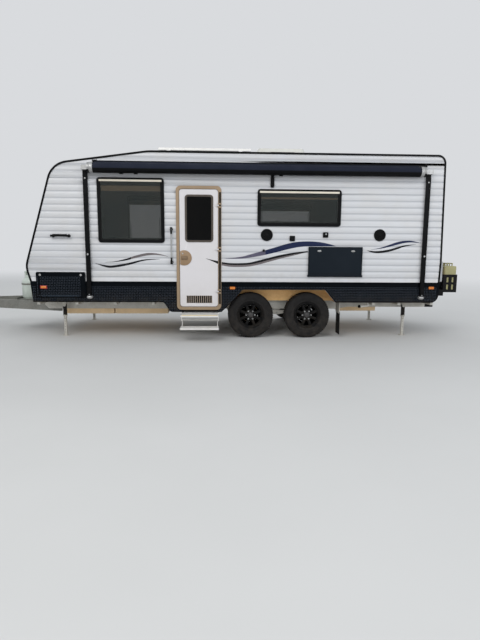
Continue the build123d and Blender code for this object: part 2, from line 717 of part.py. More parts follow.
def table_parts():
    """Fold-down table and the shallow tray behind it."""
    tray_face = -BODY_HALF_WIDTH - TABLE_TRAY
    tray = across(opening(TABLE_X, TABLE_Z, 0), (tray_face, -BODY_HALF_WIDTH))
    well = opening(grown(TABLE_X, -30.0), grown(TABLE_Z, -30.0), 6.0)
    tray = tray - across(well, (tray_face - 1.0, -BODY_HALF_WIDTH - 4.0))
    leaf_x = grown(TABLE_X, -1.5)
    leaf = across(
        opening(leaf_x, (TABLE_Z[0] + 7.0, TABLE_Z[1]), 5.0), (TABLE_SURFACE, TABLE_SURFACE + TABLE_LEAF),
    )
    cheek_z = (TABLE_Z[0], TABLE_Z[0] + 30.0)
    for edge, outward in ((TABLE_X[0], -1.0), (TABLE_X[1], 1.0)):
        cheek = block(
            sorted((edge, edge + outward * TABLE_CHEEK)), (TABLE_SURFACE - 4.0, -BODY_HALF_WIDTH), cheek_z
        )
        pin_ends = sorted((edge + outward * TABLE_CHEEK, edge - outward * TABLE_PIN_DEPTH))
        bore_ends = sorted((edge + outward, edge - outward * (TABLE_PIN_DEPTH + 1.0)))
        tray = tray + cheek + rod((pin_ends[0], *TABLE_AXIS), (pin_ends[1], *TABLE_AXIS), TABLE_PIN)
        leaf = leaf - rod((bore_ends[0], *TABLE_AXIS), (bore_ends[1], *TABLE_AXIS), TABLE_PIN + SEAT_GAP)
    return tray, leaf


def rail():
    """Main rail at minus Y with its cut-back nose and shallower tail."""
    tail = BODY_BOTTOM - RAIL_REAR_DEPTH
    profile = outline([
        (RAIL_FRONT, BODY_BOTTOM, 0.0),
        (RAIL_FRONT, RAIL_BOTTOM + 60.0, 0.0),
        (RAIL_FRONT + 60.0, RAIL_BOTTOM, 0.0),
        (RAIL_TAPER[0], RAIL_BOTTOM, 0.0),
        (RAIL_TAPER[1], tail, 0.0),
        (RAIL_REAR, tail, 0.0),
        (RAIL_REAR, BODY_BOTTOM, 0.0),
    ])
    return across(profile, (-RAIL_OUTER, -RAIL_INNER))


def joists():
    """Cross joists between the rails and the outriggers beyond them."""
    pieces = []
    for x in JOIST_STATIONS:
        x_range = grown((x, x), JOIST_WIDTH / 2)
        z_range = (BODY_BOTTOM - JOIST_DEPTH, BODY_BOTTOM)
        pieces.append(block(x_range, (-RAIL_INNER, RAIL_INNER), z_range))
        beside_boxes = BOX_FRONT - JOIST_WIDTH < x < BOX_REAR + JOIST_WIDTH
        if not beside_boxes:
            arm = block(
                x_range, (-OUTRIGGER_REACH, -RAIL_OUTER), (BODY_BOTTOM - OUTRIGGER_DEPTH, BODY_BOTTOM),
            )
            pieces.extend((arm, other_side(arm)))
    return pieces


def drawbar():
    """Welded A-frame: two members, apex plate, rear crossbar and the gas tray."""
    middle_z = DRAWBAR_TOP - DRAWBAR_DEPTH / 2
    far_x = DRAWBAR_END + 200.0
    reach = MEMBER_SLOPE * (COUPLING_TO_BOW + far_x)
    member = tube_run(
        (-COUPLING_TO_BOW, 0.0, middle_z), (far_x, -reach, middle_z), DRAWBAR_WIDTH, DRAWBAR_DEPTH,
    )
    inside = block((DRAWBAR_APEX, DRAWBAR_END), (-RAIL_INNER, RAIL_INNER), (0.0, BODY_BOTTOM))
    frame = (member & inside) + (other_side(member) & inside)
    apex = block((DRAWBAR_APEX, DRAWBAR_APEX + 190.0), (-60.0, 60.0), (DRAWBAR_TOP - 12.0, DRAWBAR_TOP))
    crossbar_half = MEMBER_SLOPE * (COUPLING_TO_BOW + CROSSBAR_X[0])
    crossbar = block(CROSSBAR_X, (-crossbar_half, crossbar_half), (DRAWBAR_TOP - 50.0, DRAWBAR_TOP))
    tray = block(TRAY_X, (-TRAY_HALF, TRAY_HALF), (DRAWBAR_TOP, DRAWBAR_TOP + TRAY_THICKNESS))
    lip = TRAY_X[0], TRAY_X[0] + 4.0
    tray = tray + block(lip, (-TRAY_HALF, TRAY_HALF), (DRAWBAR_TOP, DRAWBAR_TOP + 40.0))
    lug_x = DRAWBAR_APEX + 150.0
    lug_y = MEMBER_SLOPE * (COUPLING_TO_BOW + lug_x) + DRAWBAR_WIDTH / 2
    for side in (-1, 1):
        lug = block(
            grown((lug_x, lug_x), 26.0), sorted((side * (lug_y - 12.0), side * (lug_y + 44.0))), LUG_Z,
        )
        hole_y = side * (lug_y + 22.0)
        hole = rod((lug_x, hole_y, LUG_Z[0] - 1.0), (lug_x, hole_y, LUG_Z[1] + 1.0), LUG_BORE)
        frame = frame + lug - hole
    return frame + apex + crossbar + tray


def gas_cylinder():
    """One gas cylinder with its collar and valve, standing at the centre plane."""
    base = DRAWBAR_TOP + TRAY_THICKNESS
    shell = spun([
        (0.0, 12.0, 0.0),
        (CYLINDER_FOOT - 12.0, 12.0, 0.0),
        (CYLINDER_FOOT - 12.0, 0.0, 0.0),
        (CYLINDER_FOOT, 0.0, 0.0),
        (CYLINDER_RADIUS, 40.0, 0.0),
        (CYLINDER_RADIUS, CYLINDER_HEIGHT - 75.0, 70.0),
        (CYLINDER_NECK, CYLINDER_HEIGHT, 0.0),
        (0.0, CYLINDER_HEIGHT, 0.0),
    ])
    collar = Cylinder(COLLAR_RADIUS, COLLAR_HEIGHT, align=FOOT)
    collar = collar - Cylinder(COLLAR_RADIUS - COLLAR_WALL, COLLAR_HEIGHT, align=FOOT)
    collar = Pos(0, 0, CYLINDER_HEIGHT - 30.0) * collar
    window = Pos(0, -COLLAR_RADIUS, CYLINDER_HEIGHT + 42.0) * Box(110.0, 60.0, 50.0)
    valve = Pos(0, 0, CYLINDER_HEIGHT) * Cylinder(15.0, 46.0, align=FOOT)
    wheel = Pos(0, 0, CYLINDER_HEIGHT + 46.0) * Cylinder(30.0, 16.0, align=FOOT)
    outlet = rod((0.0, 0.0, CYLINDER_HEIGHT + 24.0), (44.0, 0.0, CYLINDER_HEIGHT + 24.0), 9.0)
    return Pos(CYLINDER_X, 0, base) * (shell + (collar - window) + valve + wheel + outlet)


def gas_clamp():
    """Post between the cylinders with a band round each."""
    base = DRAWBAR_TOP + TRAY_THICKNESS
    post = block(grown((CYLINDER_X, CYLINDER_X), 20.0), (-20.0, 20.0), (base, CLAMP_Z[1]))
    for side in (-1, 1):
        at = Pos(CYLINDER_X, side * CYLINDER_Y, CLAMP_Z[0])
        height = CLAMP_Z[1] - CLAMP_Z[0]
        band = Cylinder(CYLINDER_RADIUS + 5.0, height, align=FOOT)
        band = band - Cylinder(CYLINDER_RADIUS + SEAT_GAP, height, align=FOOT)
        ears = block((CYLINDER_X - 12.0, CYLINDER_X + 12.0), sorted((side * 18.0, side * 46.0)), CLAMP_Z)
        post = post + at * band + ears
    return post


def coupling():
    """Ball coupling: socket head, channel body and bolting plate."""
    x = -COUPLING_TO_BOW
    head = Pos(x, 0, BALL_HEIGHT - SOCKET_SKIRT) * Cylinder(HEAD_RADIUS, SOCKET_SKIRT + HEAD_RISE, align=FOOT)
    dome = Pos(x, 0, BALL_HEIGHT + HEAD_RISE) * Cylinder(HEAD_RADIUS - 8.0, 14.0, align=FOOT)
    tail = x + CHANNEL_LENGTH
    spine = across(
        outline([
            (x, BALL_HEIGHT - 4.0, 0.0),
            (x, BALL_HEIGHT + HEAD_RISE + 4.0, 8.0),
            (tail - 180.0, DRAWBAR_TOP + CHANNEL_RISE, 30.0),
            (tail, DRAWBAR_TOP + CHANNEL_RISE, 12.0),
            (tail, DRAWBAR_TOP + TRAY_THICKNESS, 0.0),
            (x + 118.0, DRAWBAR_TOP + TRAY_THICKNESS, 20.0),
            (x + 96.0, BALL_HEIGHT - 4.0, 10.0),
        ]),
        (-30.0, 30.0),
    )
    plate = block((DRAWBAR_APEX, tail + 10.0), (-58.0, 58.0), (DRAWBAR_TOP, DRAWBAR_TOP + TRAY_THICKNESS))
    lever = rod((x + 40.0, 0.0, BALL_HEIGHT + HEAD_RISE), (x + 70.0, 0.0, BALL_HEIGHT + 96.0), 8.0)
    grip = rod((x + 70.0, 0.0, BALL_HEIGHT + 96.0), (x + 150.0, 0.0, BALL_HEIGHT + 122.0), 13.0)
    socket = Pos(x, 0, BALL_HEIGHT) * Sphere(BALL_BORE)
    throat = rod((x, 0.0, BALL_HEIGHT - SOCKET_SKIRT - 1.0), (x, 0.0, BALL_HEIGHT), BALL_BORE)
    return head + dome + spine + plate + lever + grip - socket - throat


def handbrake():
    """Parking brake lever with its quadrant on the drawbar's far member."""
    base = block(HANDBRAKE_X, HANDBRAKE_Y, (DRAWBAR_TOP, DRAWBAR_TOP + 8.0))
    middle_y = (HANDBRAKE_Y[0] + HANDBRAKE_Y[1]) / 2
    top = DRAWBAR_TOP + 95.0
    quadrant = across(
        outline([
            (HANDBRAKE_X[0] + 8.0, DRAWBAR_TOP + 8.0, 0.0),
            (HANDBRAKE_X[0] + 8.0, top, 25.0),
            (HANDBRAKE_X[1] - 8.0, top, 40.0),
            (HANDBRAKE_X[1] - 8.0, DRAWBAR_TOP + 8.0, 0.0),
        ]),
        (middle_y - 4.0, middle_y + 4.0),
    )
    pivot = ((HANDBRAKE_X[0] + HANDBRAKE_X[1]) / 2, middle_y + 9.0, DRAWBAR_TOP + 35.0)
    tip = (pivot[0] - 190.0, middle_y + 9.0, DRAWBAR_TOP + 300.0)
    lever = rod(pivot, tip, 9.0)
    grip = rod((pivot[0] - 120.0, middle_y + 9.0, DRAWBAR_TOP + 202.4), tip, 14.0)
    boss = rod((pivot[0], middle_y - 10.0, pivot[2]), (pivot[0], middle_y + 20.0, pivot[2]), 16.0)
    return base + quadrant + lever + grip + boss


def jockey_parts():
    """Clamp and outer tube, stem with its fork, and castor wheel."""
    at = Pos(JOCKEY_X, JOCKEY_Y, 0)
    sleeve_length = JOCKEY_SLEEVE_Z[1] - JOCKEY_SLEEVE_Z[0]
    sleeve = Pos(0, 0, JOCKEY_SLEEVE_Z[0]) * Cylinder(JOCKEY_TUBE, sleeve_length, align=FOOT)
    bore_depth = JOCKEY_STEM_TOP + SEAT_GAP - JOCKEY_SLEEVE_Z[0]
    sleeve = sleeve - Pos(0, 0, JOCKEY_SLEEVE_Z[0]) * Cylinder(JOCKEY_STEM + SEAT_GAP, bore_depth, align=FOOT)
    clamp = Box(2 * JOCKEY_TUBE + 24.0, 2 * JOCKEY_TUBE + 24.0, 70.0) - Cylinder(JOCKEY_TUBE, 80.0)
    member_face = -MEMBER_SLOPE * (COUPLING_TO_BOW + JOCKEY_X) - DRAWBAR_WIDTH / 2
    pad = block((-40.0, 40.0), (JOCKEY_TUBE + 6.0, member_face + 26.0 - JOCKEY_Y), (-35.0, 35.0))
    clamp = Pos(0, 0, DRAWBAR_TOP - DRAWBAR_DEPTH / 2) * (clamp + pad)
    crank_z = JOCKEY_SLEEVE_Z[1] + 30.0
    crank = rod((0.0, 0.0, JOCKEY_SLEEVE_Z[1]), (0.0, 0.0, crank_z), 9.0)
    crank = crank + rod((0.0, 0.0, crank_z - 6.0), (JOCKEY_CRANK, 0.0, crank_z - 6.0), 6.0)
    crank = crank + rod((JOCKEY_CRANK, 0.0, crank_z - 10.0), (JOCKEY_CRANK, 0.0, crank_z + 70.0), 12.0)
    stem = Pos(0, 0, JOCKEY_FORK_Z) * Cylinder(JOCKEY_STEM, JOCKEY_STEM_TOP - JOCKEY_FORK_Z, align=FOOT)
    crown_x = (-JOCKEY_STEM - 8.0, JOCKEY_TRAIL + 40.0)
    crown = block(crown_x, (-JOCKEY_FORK_HALF, JOCKEY_FORK_HALF), (JOCKEY_FORK_Z - 8.0, JOCKEY_FORK_Z))
    stem = stem + crown
    cheek_rows = [
        (crown_x[0], JOCKEY_FORK_Z, 0.0),
        (crown_x[1], JOCKEY_FORK_Z, 0.0),
        (JOCKEY_TRAIL + 24.0, JOCKEY_WHEEL_RADIUS - 22.0, 14.0),
        (JOCKEY_TRAIL - 24.0, JOCKEY_WHEEL_RADIUS - 22.0, 14.0),
    ]
    for side in (-1, 1):
        span = sorted((side * (JOCKEY_FORK_HALF - 6.0), side * JOCKEY_FORK_HALF))
        stem = stem + across(outline(cheek_rows), span)
    at_axle = Pos(JOCKEY_TRAIL, 0, JOCKEY_WHEEL_RADIUS) * Rot(90, 0, 0)
    stem = stem + at_axle * Cylinder(JOCKEY_AXLE, 2 * JOCKEY_FORK_HALF)
    half = JOCKEY_WHEEL_WIDTH / 2
    web = half / 3
    wheel = spun([
        # radius, distance from the middle, corner radius
        (JOCKEY_AXLE + SEAT_GAP, -half, 0.0),
        (26.0, -half, 0.0),
        (34.0, -web, 0.0),
        (64.0, -web, 0.0),
        (72.0, -half + 4.0, 0.0),
        (JOCKEY_WHEEL_RADIUS - 9.0, -half + 4.0, 0.0),
        (JOCKEY_WHEEL_RADIUS, -half / 2, 0.0),
        (JOCKEY_WHEEL_RADIUS, half / 2, 0.0),
        (JOCKEY_WHEEL_RADIUS - 9.0, half - 4.0, 0.0),
        (72.0, half - 4.0, 0.0),
        (64.0, web, 0.0),
        (34.0, web, 0.0),
        (26.0, half, 0.0),
        (JOCKEY_AXLE + SEAT_GAP, half, 0.0),
    ])
    return at * (sleeve + clamp + crank) - drawbar(), at * stem, at * at_axle * wheel


def tyre():
    """Road tyre turned about the local Z axis, outboard face up."""
    return spun(TYRE_SECTION)


def rim(with_hub):
    """Spoked rim turned about the local Z axis, with the hub and drum when it is a road wheel."""
    edge = RIM_WIDTH / 2
    inner = RIM_SEAT_RADIUS - RIM_WALL
    barrel = spun([
        (RIM_FLANGE_RADIUS, -edge, 0.0),
        (RIM_FLANGE_RADIUS, -edge + 7.0, 0.0),
        (RIM_SEAT_RADIUS, -edge + 14.0, 0.0),
        (RIM_SEAT_RADIUS, edge - 14.0, 0.0),
        (RIM_FLANGE_RADIUS, edge - 7.0, 0.0),
        (RIM_FLANGE_RADIUS, edge, 0.0),
        (inner + 10.0, edge, 0.0),
        (inner, edge - 16.0, 0.0),
        (inner, -edge + 16.0, 0.0),
        (inner + 10.0, -edge, 0.0),
    ])
    disc = Pos(0, 0, DISC_Z[0]) * Cylinder(inner + 1.0, DISC_Z[1] - DISC_Z[0], align=FOOT)
    (near, near_half), (far, far_half) = SPOKE_WINDOW
    corners = ((near, -near_half), (far, -far_half), (far, far_half), (near, near_half))
    window = Pos(0, 0, DISC_Z[0] - 5.0) * extrude(
        make_face(FilletPolyline(*corners, radius=SPOKE_WINDOW_CORNER, close=True)),
        amount=DISC_Z[1] - DISC_Z[0] + 10.0,
    )
    for index in range(SPOKE_COUNT):
        disc = disc - Rot(0, 0, index * 360.0 / SPOKE_COUNT) * window
    wheel = barrel + disc
    if not with_hub:
        return wheel - Pos(0, 0, DISC_Z[0] - 5.0) * Cylinder(SPARE_CENTRE_BORE, 60.0, align=FOOT)
    hub = spun([
        (STUB_RADIUS + HUB_CLEARANCE, -DRUM_DEPTH[1], 0.0),
        (DRUM_RADIUS, -DRUM_DEPTH[1], 0.0),
        (DRUM_RADIUS, -DRUM_DEPTH[0], 0.0),
        (HUB_FLANGE_RADIUS, -DRUM_DEPTH[0], 0.0),
        (HUB_FLANGE_RADIUS, DISC_Z[0] + 2.0, 0.0),
        (HUB_CAP_RADIUS, DISC_Z[1], 0.0),
        (HUB_CAP_RADIUS, HUB_CAP_END - 20.0, 0.0),
        (HUB_CAP_RADIUS - 10.0, HUB_CAP_END, 0.0),
        (0.0, HUB_CAP_END, 0.0),
        (0.0, STUB_END + 1.0, 0.0),
        (STUB_RADIUS + HUB_CLEARANCE, STUB_END + 1.0, 0.0),
    ])
    bore = Pos(0, 0, -DRUM_DEPTH[1]) * Cylinder(
        STUB_RADIUS + HUB_CLEARANCE, DRUM_DEPTH[1] + STUB_END + 1.0, align=FOOT,
    )
    return (wheel + hub) - bore


def at_wheel(part, x, side):
    """Wheel part turned so that its outboard face looks to the given side."""
    return Pos(x, side * TRACK_HALF, TYRE_RADIUS) * Rot(-90 * side, 0, 0) * part


def axles():
    """Two beams, each with backing plates and stub shafts."""
    beams = []
    plate_inner = TRACK_HALF - DRUM_DEPTH[1] - 16.0
    plate_outer = TRACK_HALF - DRUM_DEPTH[1] - 6.0
    for x in WHEEL_X:
        beam = block(
            grown((x, x), AXLE_BEAM / 2), (-plate_inner, plate_inner),
            grown((TYRE_RADIUS, TYRE_RADIUS), AXLE_BEAM / 2)
        )
        for side in (-1, 1):
            beam = beam + rod(
                (x, side * plate_inner, TYRE_RADIUS), (x, side * plate_outer, TYRE_RADIUS), DRUM_RADIUS + 3.0,
            )
            beam = beam + rod(
                (x, side * plate_outer, TYRE_RADIUS), (x, side * (TRACK_HALF + STUB_END), TYRE_RADIUS),
                STUB_RADIUS
            )
        beams.append(beam)
    return beams


SPRING_TOP = TYRE_RADIUS - AXLE_BEAM / 2 - AXLE_SEAT_GAP
SPRING_CURVE = (SPRING_HALF**2 + SPRING_CAMBER**2) / (2 * SPRING_CAMBER)
SPRING_CENTRE_Z = SPRING_TOP + SPRING_CURVE
EYE_Z = SPRING_CENTRE_Z - math.sqrt((SPRING_CURVE + LEAF_THICKNESS / 2) ** 2 - SPRING_HALF**2)
SPRING_Y = (-RAIL_INNER - RAIL_WIDTH / 2 - SPRING_WIDTH / 2, -RAIL_INNER - RAIL_WIDTH / 2 + SPRING_WIDTH / 2)


def leaf_spring(x):
    """Pack of stepped leaves under one axle end at minus Y, rolled into eyes at both ends."""
    face = None
    for index, half in enumerate(LEAF_HALVES):
        inner = SPRING_CURVE + index * LEAF_THICKNESS
        ring = Pos(x, SPRING_CENTRE_Z) * (Circle(inner + LEAF_THICKNESS) - Circle(inner))
        leaf = ring & (Pos(x, SPRING_TOP) * Rectangle(2 * half, 240.0))
        face = leaf if face is None else face + leaf
    for side in (-1, 1):
        face = face + Pos(x + side * SPRING_HALF, EYE_Z) * Circle(EYE_RADIUS)
    for side in (-1, 1):
        face = face - Pos(x + side * SPRING_HALF, EYE_Z) * Circle(EYE_PIN + SEAT_GAP)
    return across(face, SPRING_Y)


def hanger_plate(face):
    """Pair of cheeks beside the spring from one side view."""
    clear = 1.0
    near = across(face, (SPRING_Y[0] - clear - CHEEK, SPRING_Y[0] - clear))
    far = across(face, (SPRING_Y[1] + clear, SPRING_Y[1] + clear + CHEEK))
    return near + far


def spring_hangers():
    """End hangers, centre hangers with their rockers, all at minus Y."""
    saddle_y = (SPRING_Y[0] - CHEEK - 1.0, SPRING_Y[1] + CHEEK + 1.0)
    pieces = []
    for x in (WHEEL_X[0] - SPRING_HALF, WHEEL_X[1] + SPRING_HALF):
        saddle = block(grown((x, x), 45.0), saddle_y, (RAIL_BOTTOM - 8.0, RAIL_BOTTOM))
        cheek = outline([
            (x - 45.0, RAIL_BOTTOM - 8.0, 0.0),
            (x + 45.0, RAIL_BOTTOM - 8.0, 0.0),
            (x + 22.0, EYE_Z - 24.0, 14.0),
            (x - 22.0, EYE_Z - 24.0, 14.0),
        ])
        pin = rod((x, saddle_y[0] - 4.0, EYE_Z), (x, saddle_y[1] + 4.0, EYE_Z), EYE_PIN)
        pieces.append(saddle + hanger_plate(cheek) + pin)
    middle = sum(WHEEL_X) / 2
    saddle = block(grown((middle, middle), 60.0), saddle_y, (RAIL_BOTTOM - 8.0, RAIL_BOTTOM))
    web_y = grown((SPRING_Y[0], SPRING_Y[1]), -12.0)
    web = across(
        outline([
            (middle - 50.0, RAIL_BOTTOM - 8.0, 0.0),
            (middle + 50.0, RAIL_BOTTOM - 8.0, 0.0),
            (middle + 26.0, ROCKER_Z - 28.0, 18.0),
            (middle - 26.0, ROCKER_Z - 28.0, 18.0),
        ]),
        web_y,
    )
    web = web + rod(
        (middle, saddle_y[0] - 6.0, ROCKER_Z), (middle, saddle_y[1] + 6.0, ROCKER_Z), EYE_PIN + 2.0,
    )
    pieces.append(saddle + web)
    reach = middle - (WHEEL_X[0] + SPRING_HALF)
    rocker_face = outline([
        (middle - reach - 24.0, EYE_Z + 20.0, 14.0),
        (middle + reach + 24.0, EYE_Z + 20.0, 14.0),
        (middle + reach + 20.0, EYE_Z - 22.0, 16.0),
        (middle + 34.0, ROCKER_Z - 34.0, 24.0),
        (middle - 34.0, ROCKER_Z - 34.0, 24.0),
        (middle - reach - 20.0, EYE_Z - 22.0, 16.0),
    ]) - Pos(middle, ROCKER_Z) * Circle(EYE_PIN + 2.0 + SEAT_GAP)
    rocker = hanger_plate(rocker_face)
    for side in (-1, 1):
        rocker = rocker + rod(
            (middle + side * reach, saddle_y[0], EYE_Z), (middle + side * reach, saddle_y[1], EYE_Z), EYE_PIN
        )
    pieces.append(rocker)
    return pieces


def leg_bracket(x):
    """Arm, cheeks and pin that carry one corner leg at minus Y."""
    cheek_inner = LEG_SLEEVE / 2 + LEG_SIDE_GAP
    cheek_outer = cheek_inner + LEG_CHEEK
    arm_z = (LEG_PIVOT_Z + 44.0, BODY_BOTTOM)
    bracket = block(grown((x, x), 30.0), (-LEG_Y - cheek_outer, -RAIL_OUTER), arm_z)
    cheek = outline([
        (x - 30.0, arm_z[0], 0.0),
        (x + 30.0, arm_z[0], 0.0),
        (x + 18.0, LEG_PIVOT_Z - 18.0, 14.0),
        (x - 18.0, LEG_PIVOT_Z - 18.0, 14.0),
    ])
    for side in (-1, 1):
        span = sorted((-LEG_Y + side * cheek_inner, -LEG_Y + side * cheek_outer))
        bracket = bracket + across(cheek, span)
    pin = rod(
        (x, -LEG_Y - cheek_outer - 4.0, LEG_PIVOT_Z), (x, -LEG_Y + cheek_outer + 4.0, LEG_PIVOT_Z), LEG_PIN,
    )
    return bracket + pin


def corner_leg(x):
    """Drop-down leg at minus Y: sleeve, inner tube and foot."""
    middle = (x, x)
    at_y = (-LEG_Y, -LEG_Y)
    head = rod(
        (x, -LEG_Y - LEG_SLEEVE / 2, LEG_PIVOT_Z), (x, -LEG_Y + LEG_SLEEVE / 2, LEG_PIVOT_Z), LEG_SLEEVE / 2,
    )
    sleeve = block(grown(middle, LEG_SLEEVE / 2), grown(at_y, LEG_SLEEVE / 2), (LEG_SLEEVE_END, LEG_PIVOT_Z))
    inner = block(
        grown(middle, LEG_TUBE / 2), grown(at_y, LEG_TUBE / 2), (LEG_FOOT_THICKNESS, LEG_SLEEVE_END),
    )
    foot = block(grown(middle, LEG_FOOT / 2), grown(at_y, LEG_FOOT / 2), (0.0, LEG_FOOT_THICKNESS))
    bore = rod(
        (x, -LEG_Y - LEG_SLEEVE, LEG_PIVOT_Z), (x, -LEG_Y + LEG_SLEEVE, LEG_PIVOT_Z), LEG_PIN + SEAT_GAP,
    )
    return head + sleeve + inner + foot - bore


def step_guides():
    """Runners under the rail that the entry step slides in."""
    pieces = []
    top = STEP_UPPER_Z + STEP_TREAD
    for x in (STEP_X[0] + STEP_SIDE / 2, STEP_X[1] - STEP_SIDE / 2):
        x_range = grown((x, x), STEP_GUIDE_WIDTH / 2)
        runner = block(x_range, (-STEP_GUIDE_END, -RAIL_INNER), (top + SEAT_GAP, RAIL_BOTTOM))
        post = block(x_range, (-STEP_GUIDE_END, -STEP_GUIDE_END + 14.0), (RAIL_BOTTOM, BODY_BOTTOM))
        pieces.append(runner + post)
    return pieces


def slatted_tread(y_range, middle_z):
    """Tread with grooves along it."""
    low, high = grown((middle_z, middle_z), STEP_TREAD / 2)
    tread = block(STEP_X, y_range, (low, high))
    width, depth = STEP_GROOVE
    pitch = (y_range[1] - y_range[0]) / STEP_SLATS
    for index in range(STEP_SLATS):
        groove_y = y_range[0] + (index + 0.5) * pitch
        tread = tread - block(
            grown(STEP_X, -STEP_BORDER), grown((groove_y, groove_y), width / 2), (high - depth, high + 1.0)
        )
    return tread


def step_parts():
    """Sliding carriage with the upper tread, and the hinged lower tread."""
    low = STEP_UPPER_Z - STEP_TREAD / 2
    frame = slatted_tread(STEP_UPPER_Y, STEP_UPPER_Z)
    hinge_y, hinge_z = STEP_HINGE
    for x in (STEP_X[0], STEP_X[1] - STEP_SIDE):
        side_x = (x, x + STEP_SIDE)
        frame = frame + block(side_x, (STEP_UPPER_Y[1], STEP_RUNNER_END), (low, STEP_UPPER_Z + STEP_TREAD))
        frame = frame + block(side_x, grown((hinge_y, hinge_y), 22.0), (hinge_z - 18.0, low))
    frame = frame + rod((STEP_X[0], hinge_y, hinge_z), (STEP_X[1], hinge_y, hinge_z), STEP_BAR)
    tie_y = (STEP_RUNNER_END - 20.0, STEP_RUNNER_END)
    frame = frame + block(STEP_X, tie_y, (low, low + STEP_TREAD))
    tread = slatted_tread(STEP_LOWER_Y, STEP_LOWER_Z)
    arm_gap = STEP_SIDE + 2.0
    for x in (STEP_X[0] + arm_gap, STEP_X[1] - arm_gap - STEP_ARM):
        middle_x = x + STEP_ARM / 2
        end = (middle_x, STEP_LOWER_Y[1] - 16.0, STEP_LOWER_Z)
        tread = tread + tube_run((middle_x, hinge_y, hinge_z), end, STEP_ARM, 30.0)
        tread = tread + rod((x, hinge_y, hinge_z), (x + STEP_ARM, hinge_y, hinge_z), STEP_BAR + 8.0)
        tread = tread - rod(
            (x - 1.0, hinge_y, hinge_z), (x + STEP_ARM + 1.0, hinge_y, hinge_z), STEP_BAR + SEAT_GAP,
        )
    return frame, tread


def mud_flap():
    """Rubber flap behind the wheels at minus Y."""
    return block((FLAP_X, FLAP_X + FLAP_THICKNESS), FLAP_Y, FLAP_Z)


def flap_bracket():
    """Plate that carries a mud flap at minus Y."""
    return block((FLAP_X - 6.0, FLAP_X), FLAP_Y, (FLAP_Z[1] - 30.0, BODY_BOTTOM))


def awning_parts():
    """Rolled fabric with its flap, and the rail, arms, feet and end caps."""
    centre_y = -BODY_HALF_WIDTH - AWNING_STANDOFF
    roll = rod((AWNING_X[0], centre_y, AWNING_Z), (AWNING_X[1], centre_y, AWNING_Z), AWNING_RADIUS)
    rail_face = -BODY_HALF_WIDTH - AWNING_RAIL_DEPTH
    flap_top = (rail_face, AWNING_RAIL_Z[0] + 8.0)
    flap_foot = (centre_y + 20.0, AWNING_Z + AWNING_RADIUS - 4.0)
    flap_section = Plane.YZ.offset(AWNING_X[0]) * make_face(
        Polyline(
            flap_top, flap_foot, (flap_foot[0], flap_foot[1] - 5.0), (flap_top[0], flap_top[1] - 5.0), close=True,
        )
    )
    roll = roll + extrude(flap_section, amount=AWNING_X[1] - AWNING_X[0])
    rail_x = (AWNING_X[0], AWNING_ARM_X[1] - 38.0)
    frame = [block(rail_x, (rail_face, -BODY_HALF_WIDTH), AWNING_RAIL_Z)]
    arm_ends = ((AWNING_ARM_X[0], AWNING_X[0], -1.0), (AWNING_ARM_X[1], AWNING_X[1], 1.0))
    for arm_x, roll_end, outward in arm_ends:
        arm_y = (-SKIRT_FACE - 8.0 - AWNING_ARM_DEPTH, -SKIRT_FACE - 8.0)
        arm = block(grown((arm_x, arm_x), AWNING_ARM_WIDTH / 2), arm_y, AWNING_ARM_Z)
        foot_z = (AWNING_ARM_Z[0] - 36.0, AWNING_ARM_Z[0] + 14.0)
        foot = block(grown((arm_x, arm_x), 20.0), (arm_y[0] - 4.0, -SKIRT_FACE), foot_z)
        cap_ends = sorted((roll_end + outward * SEAT_GAP, roll_end + outward * AWNING_CAP_LENGTH))
        cap = rod((cap_ends[0], centre_y, AWNING_Z), (cap_ends[1], centre_y, AWNING_Z), AWNING_RADIUS + 4.0)
        head_x = sorted(
            (arm_x + outward * AWNING_ARM_WIDTH / 2, roll_end + outward * (AWNING_CAP_LENGTH - 20.0)),
        )
        head = block(head_x, (centre_y - 30.0, -BODY_HALF_WIDTH), (AWNING_Z - 34.0, AWNING_Z + 34.0))
        frame.append(arm + foot + cap + head)
    cradle_x = grown((AWNING_CRADLE_X, AWNING_CRADLE_X), 22.0)
    roll_foot = AWNING_Z - AWNING_RADIUS - SEAT_GAP
    cradle = block(cradle_x, (-BODY_HALF_WIDTH - 20.0, -BODY_HALF_WIDTH), (AWNING_Z - 250.0, roll_foot))
    cradle = cradle + block(cradle_x, (centre_y - 12.0, -BODY_HALF_WIDTH), (roll_foot - 14.0, roll_foot))
    frame.append(cradle)
    return roll, frame


def wall_fittings():
    """Speakers, outlets, knob and grab handles on the entrance side."""
    face = -BODY_HALF_WIDTH
    pieces = []
    for x, z in SPEAKERS:
        disc = rod((x, face - 12.0, z), (x, face, z), SPEAKER_RADIUS)
        disc = disc - (rod((x, face - 13.0, z), (x, face - 8.0, z), SPEAKER_RADIUS - 14.0))
        pieces.append(disc + rod((x, face - 12.0, z), (x, face, z), 26.0))
    for x, z in OUTLETS:
        cover = opening(grown((x, x), OUTLET_SIZE / 2), grown((z, z), OUTLET_SIZE / 2), 10.0)
        pieces.append(across(cover, (face - 20.0, face)))
    pieces.append(rod((KNOB[0], face - 24.0, KNOB[1]), (KNOB[0], face, KNOB[1]), 18.0))
    for start, end in GRAB_HANDLES:
        bar = rod((start[0], face - 48.0, start[1]), (end[0], face - 48.0, end[1]), 11.0)
        for x, z in (start, end):
            bar = bar + rod((x, face - 59.0, z), (x, face, z), 17.0)
        pieces.append(bar)
    return pieces


def rear_face_x(z):
    """Station of the rear wall's outer face at a height below its bulge."""
    (bulge_x, bulge_z, _), (foot_x, foot_z, _) = BODY_OUTLINE[-2:]
    return foot_x + (bulge_x - foot_x) * (z - foot_z) / (bulge_z - foot_z)


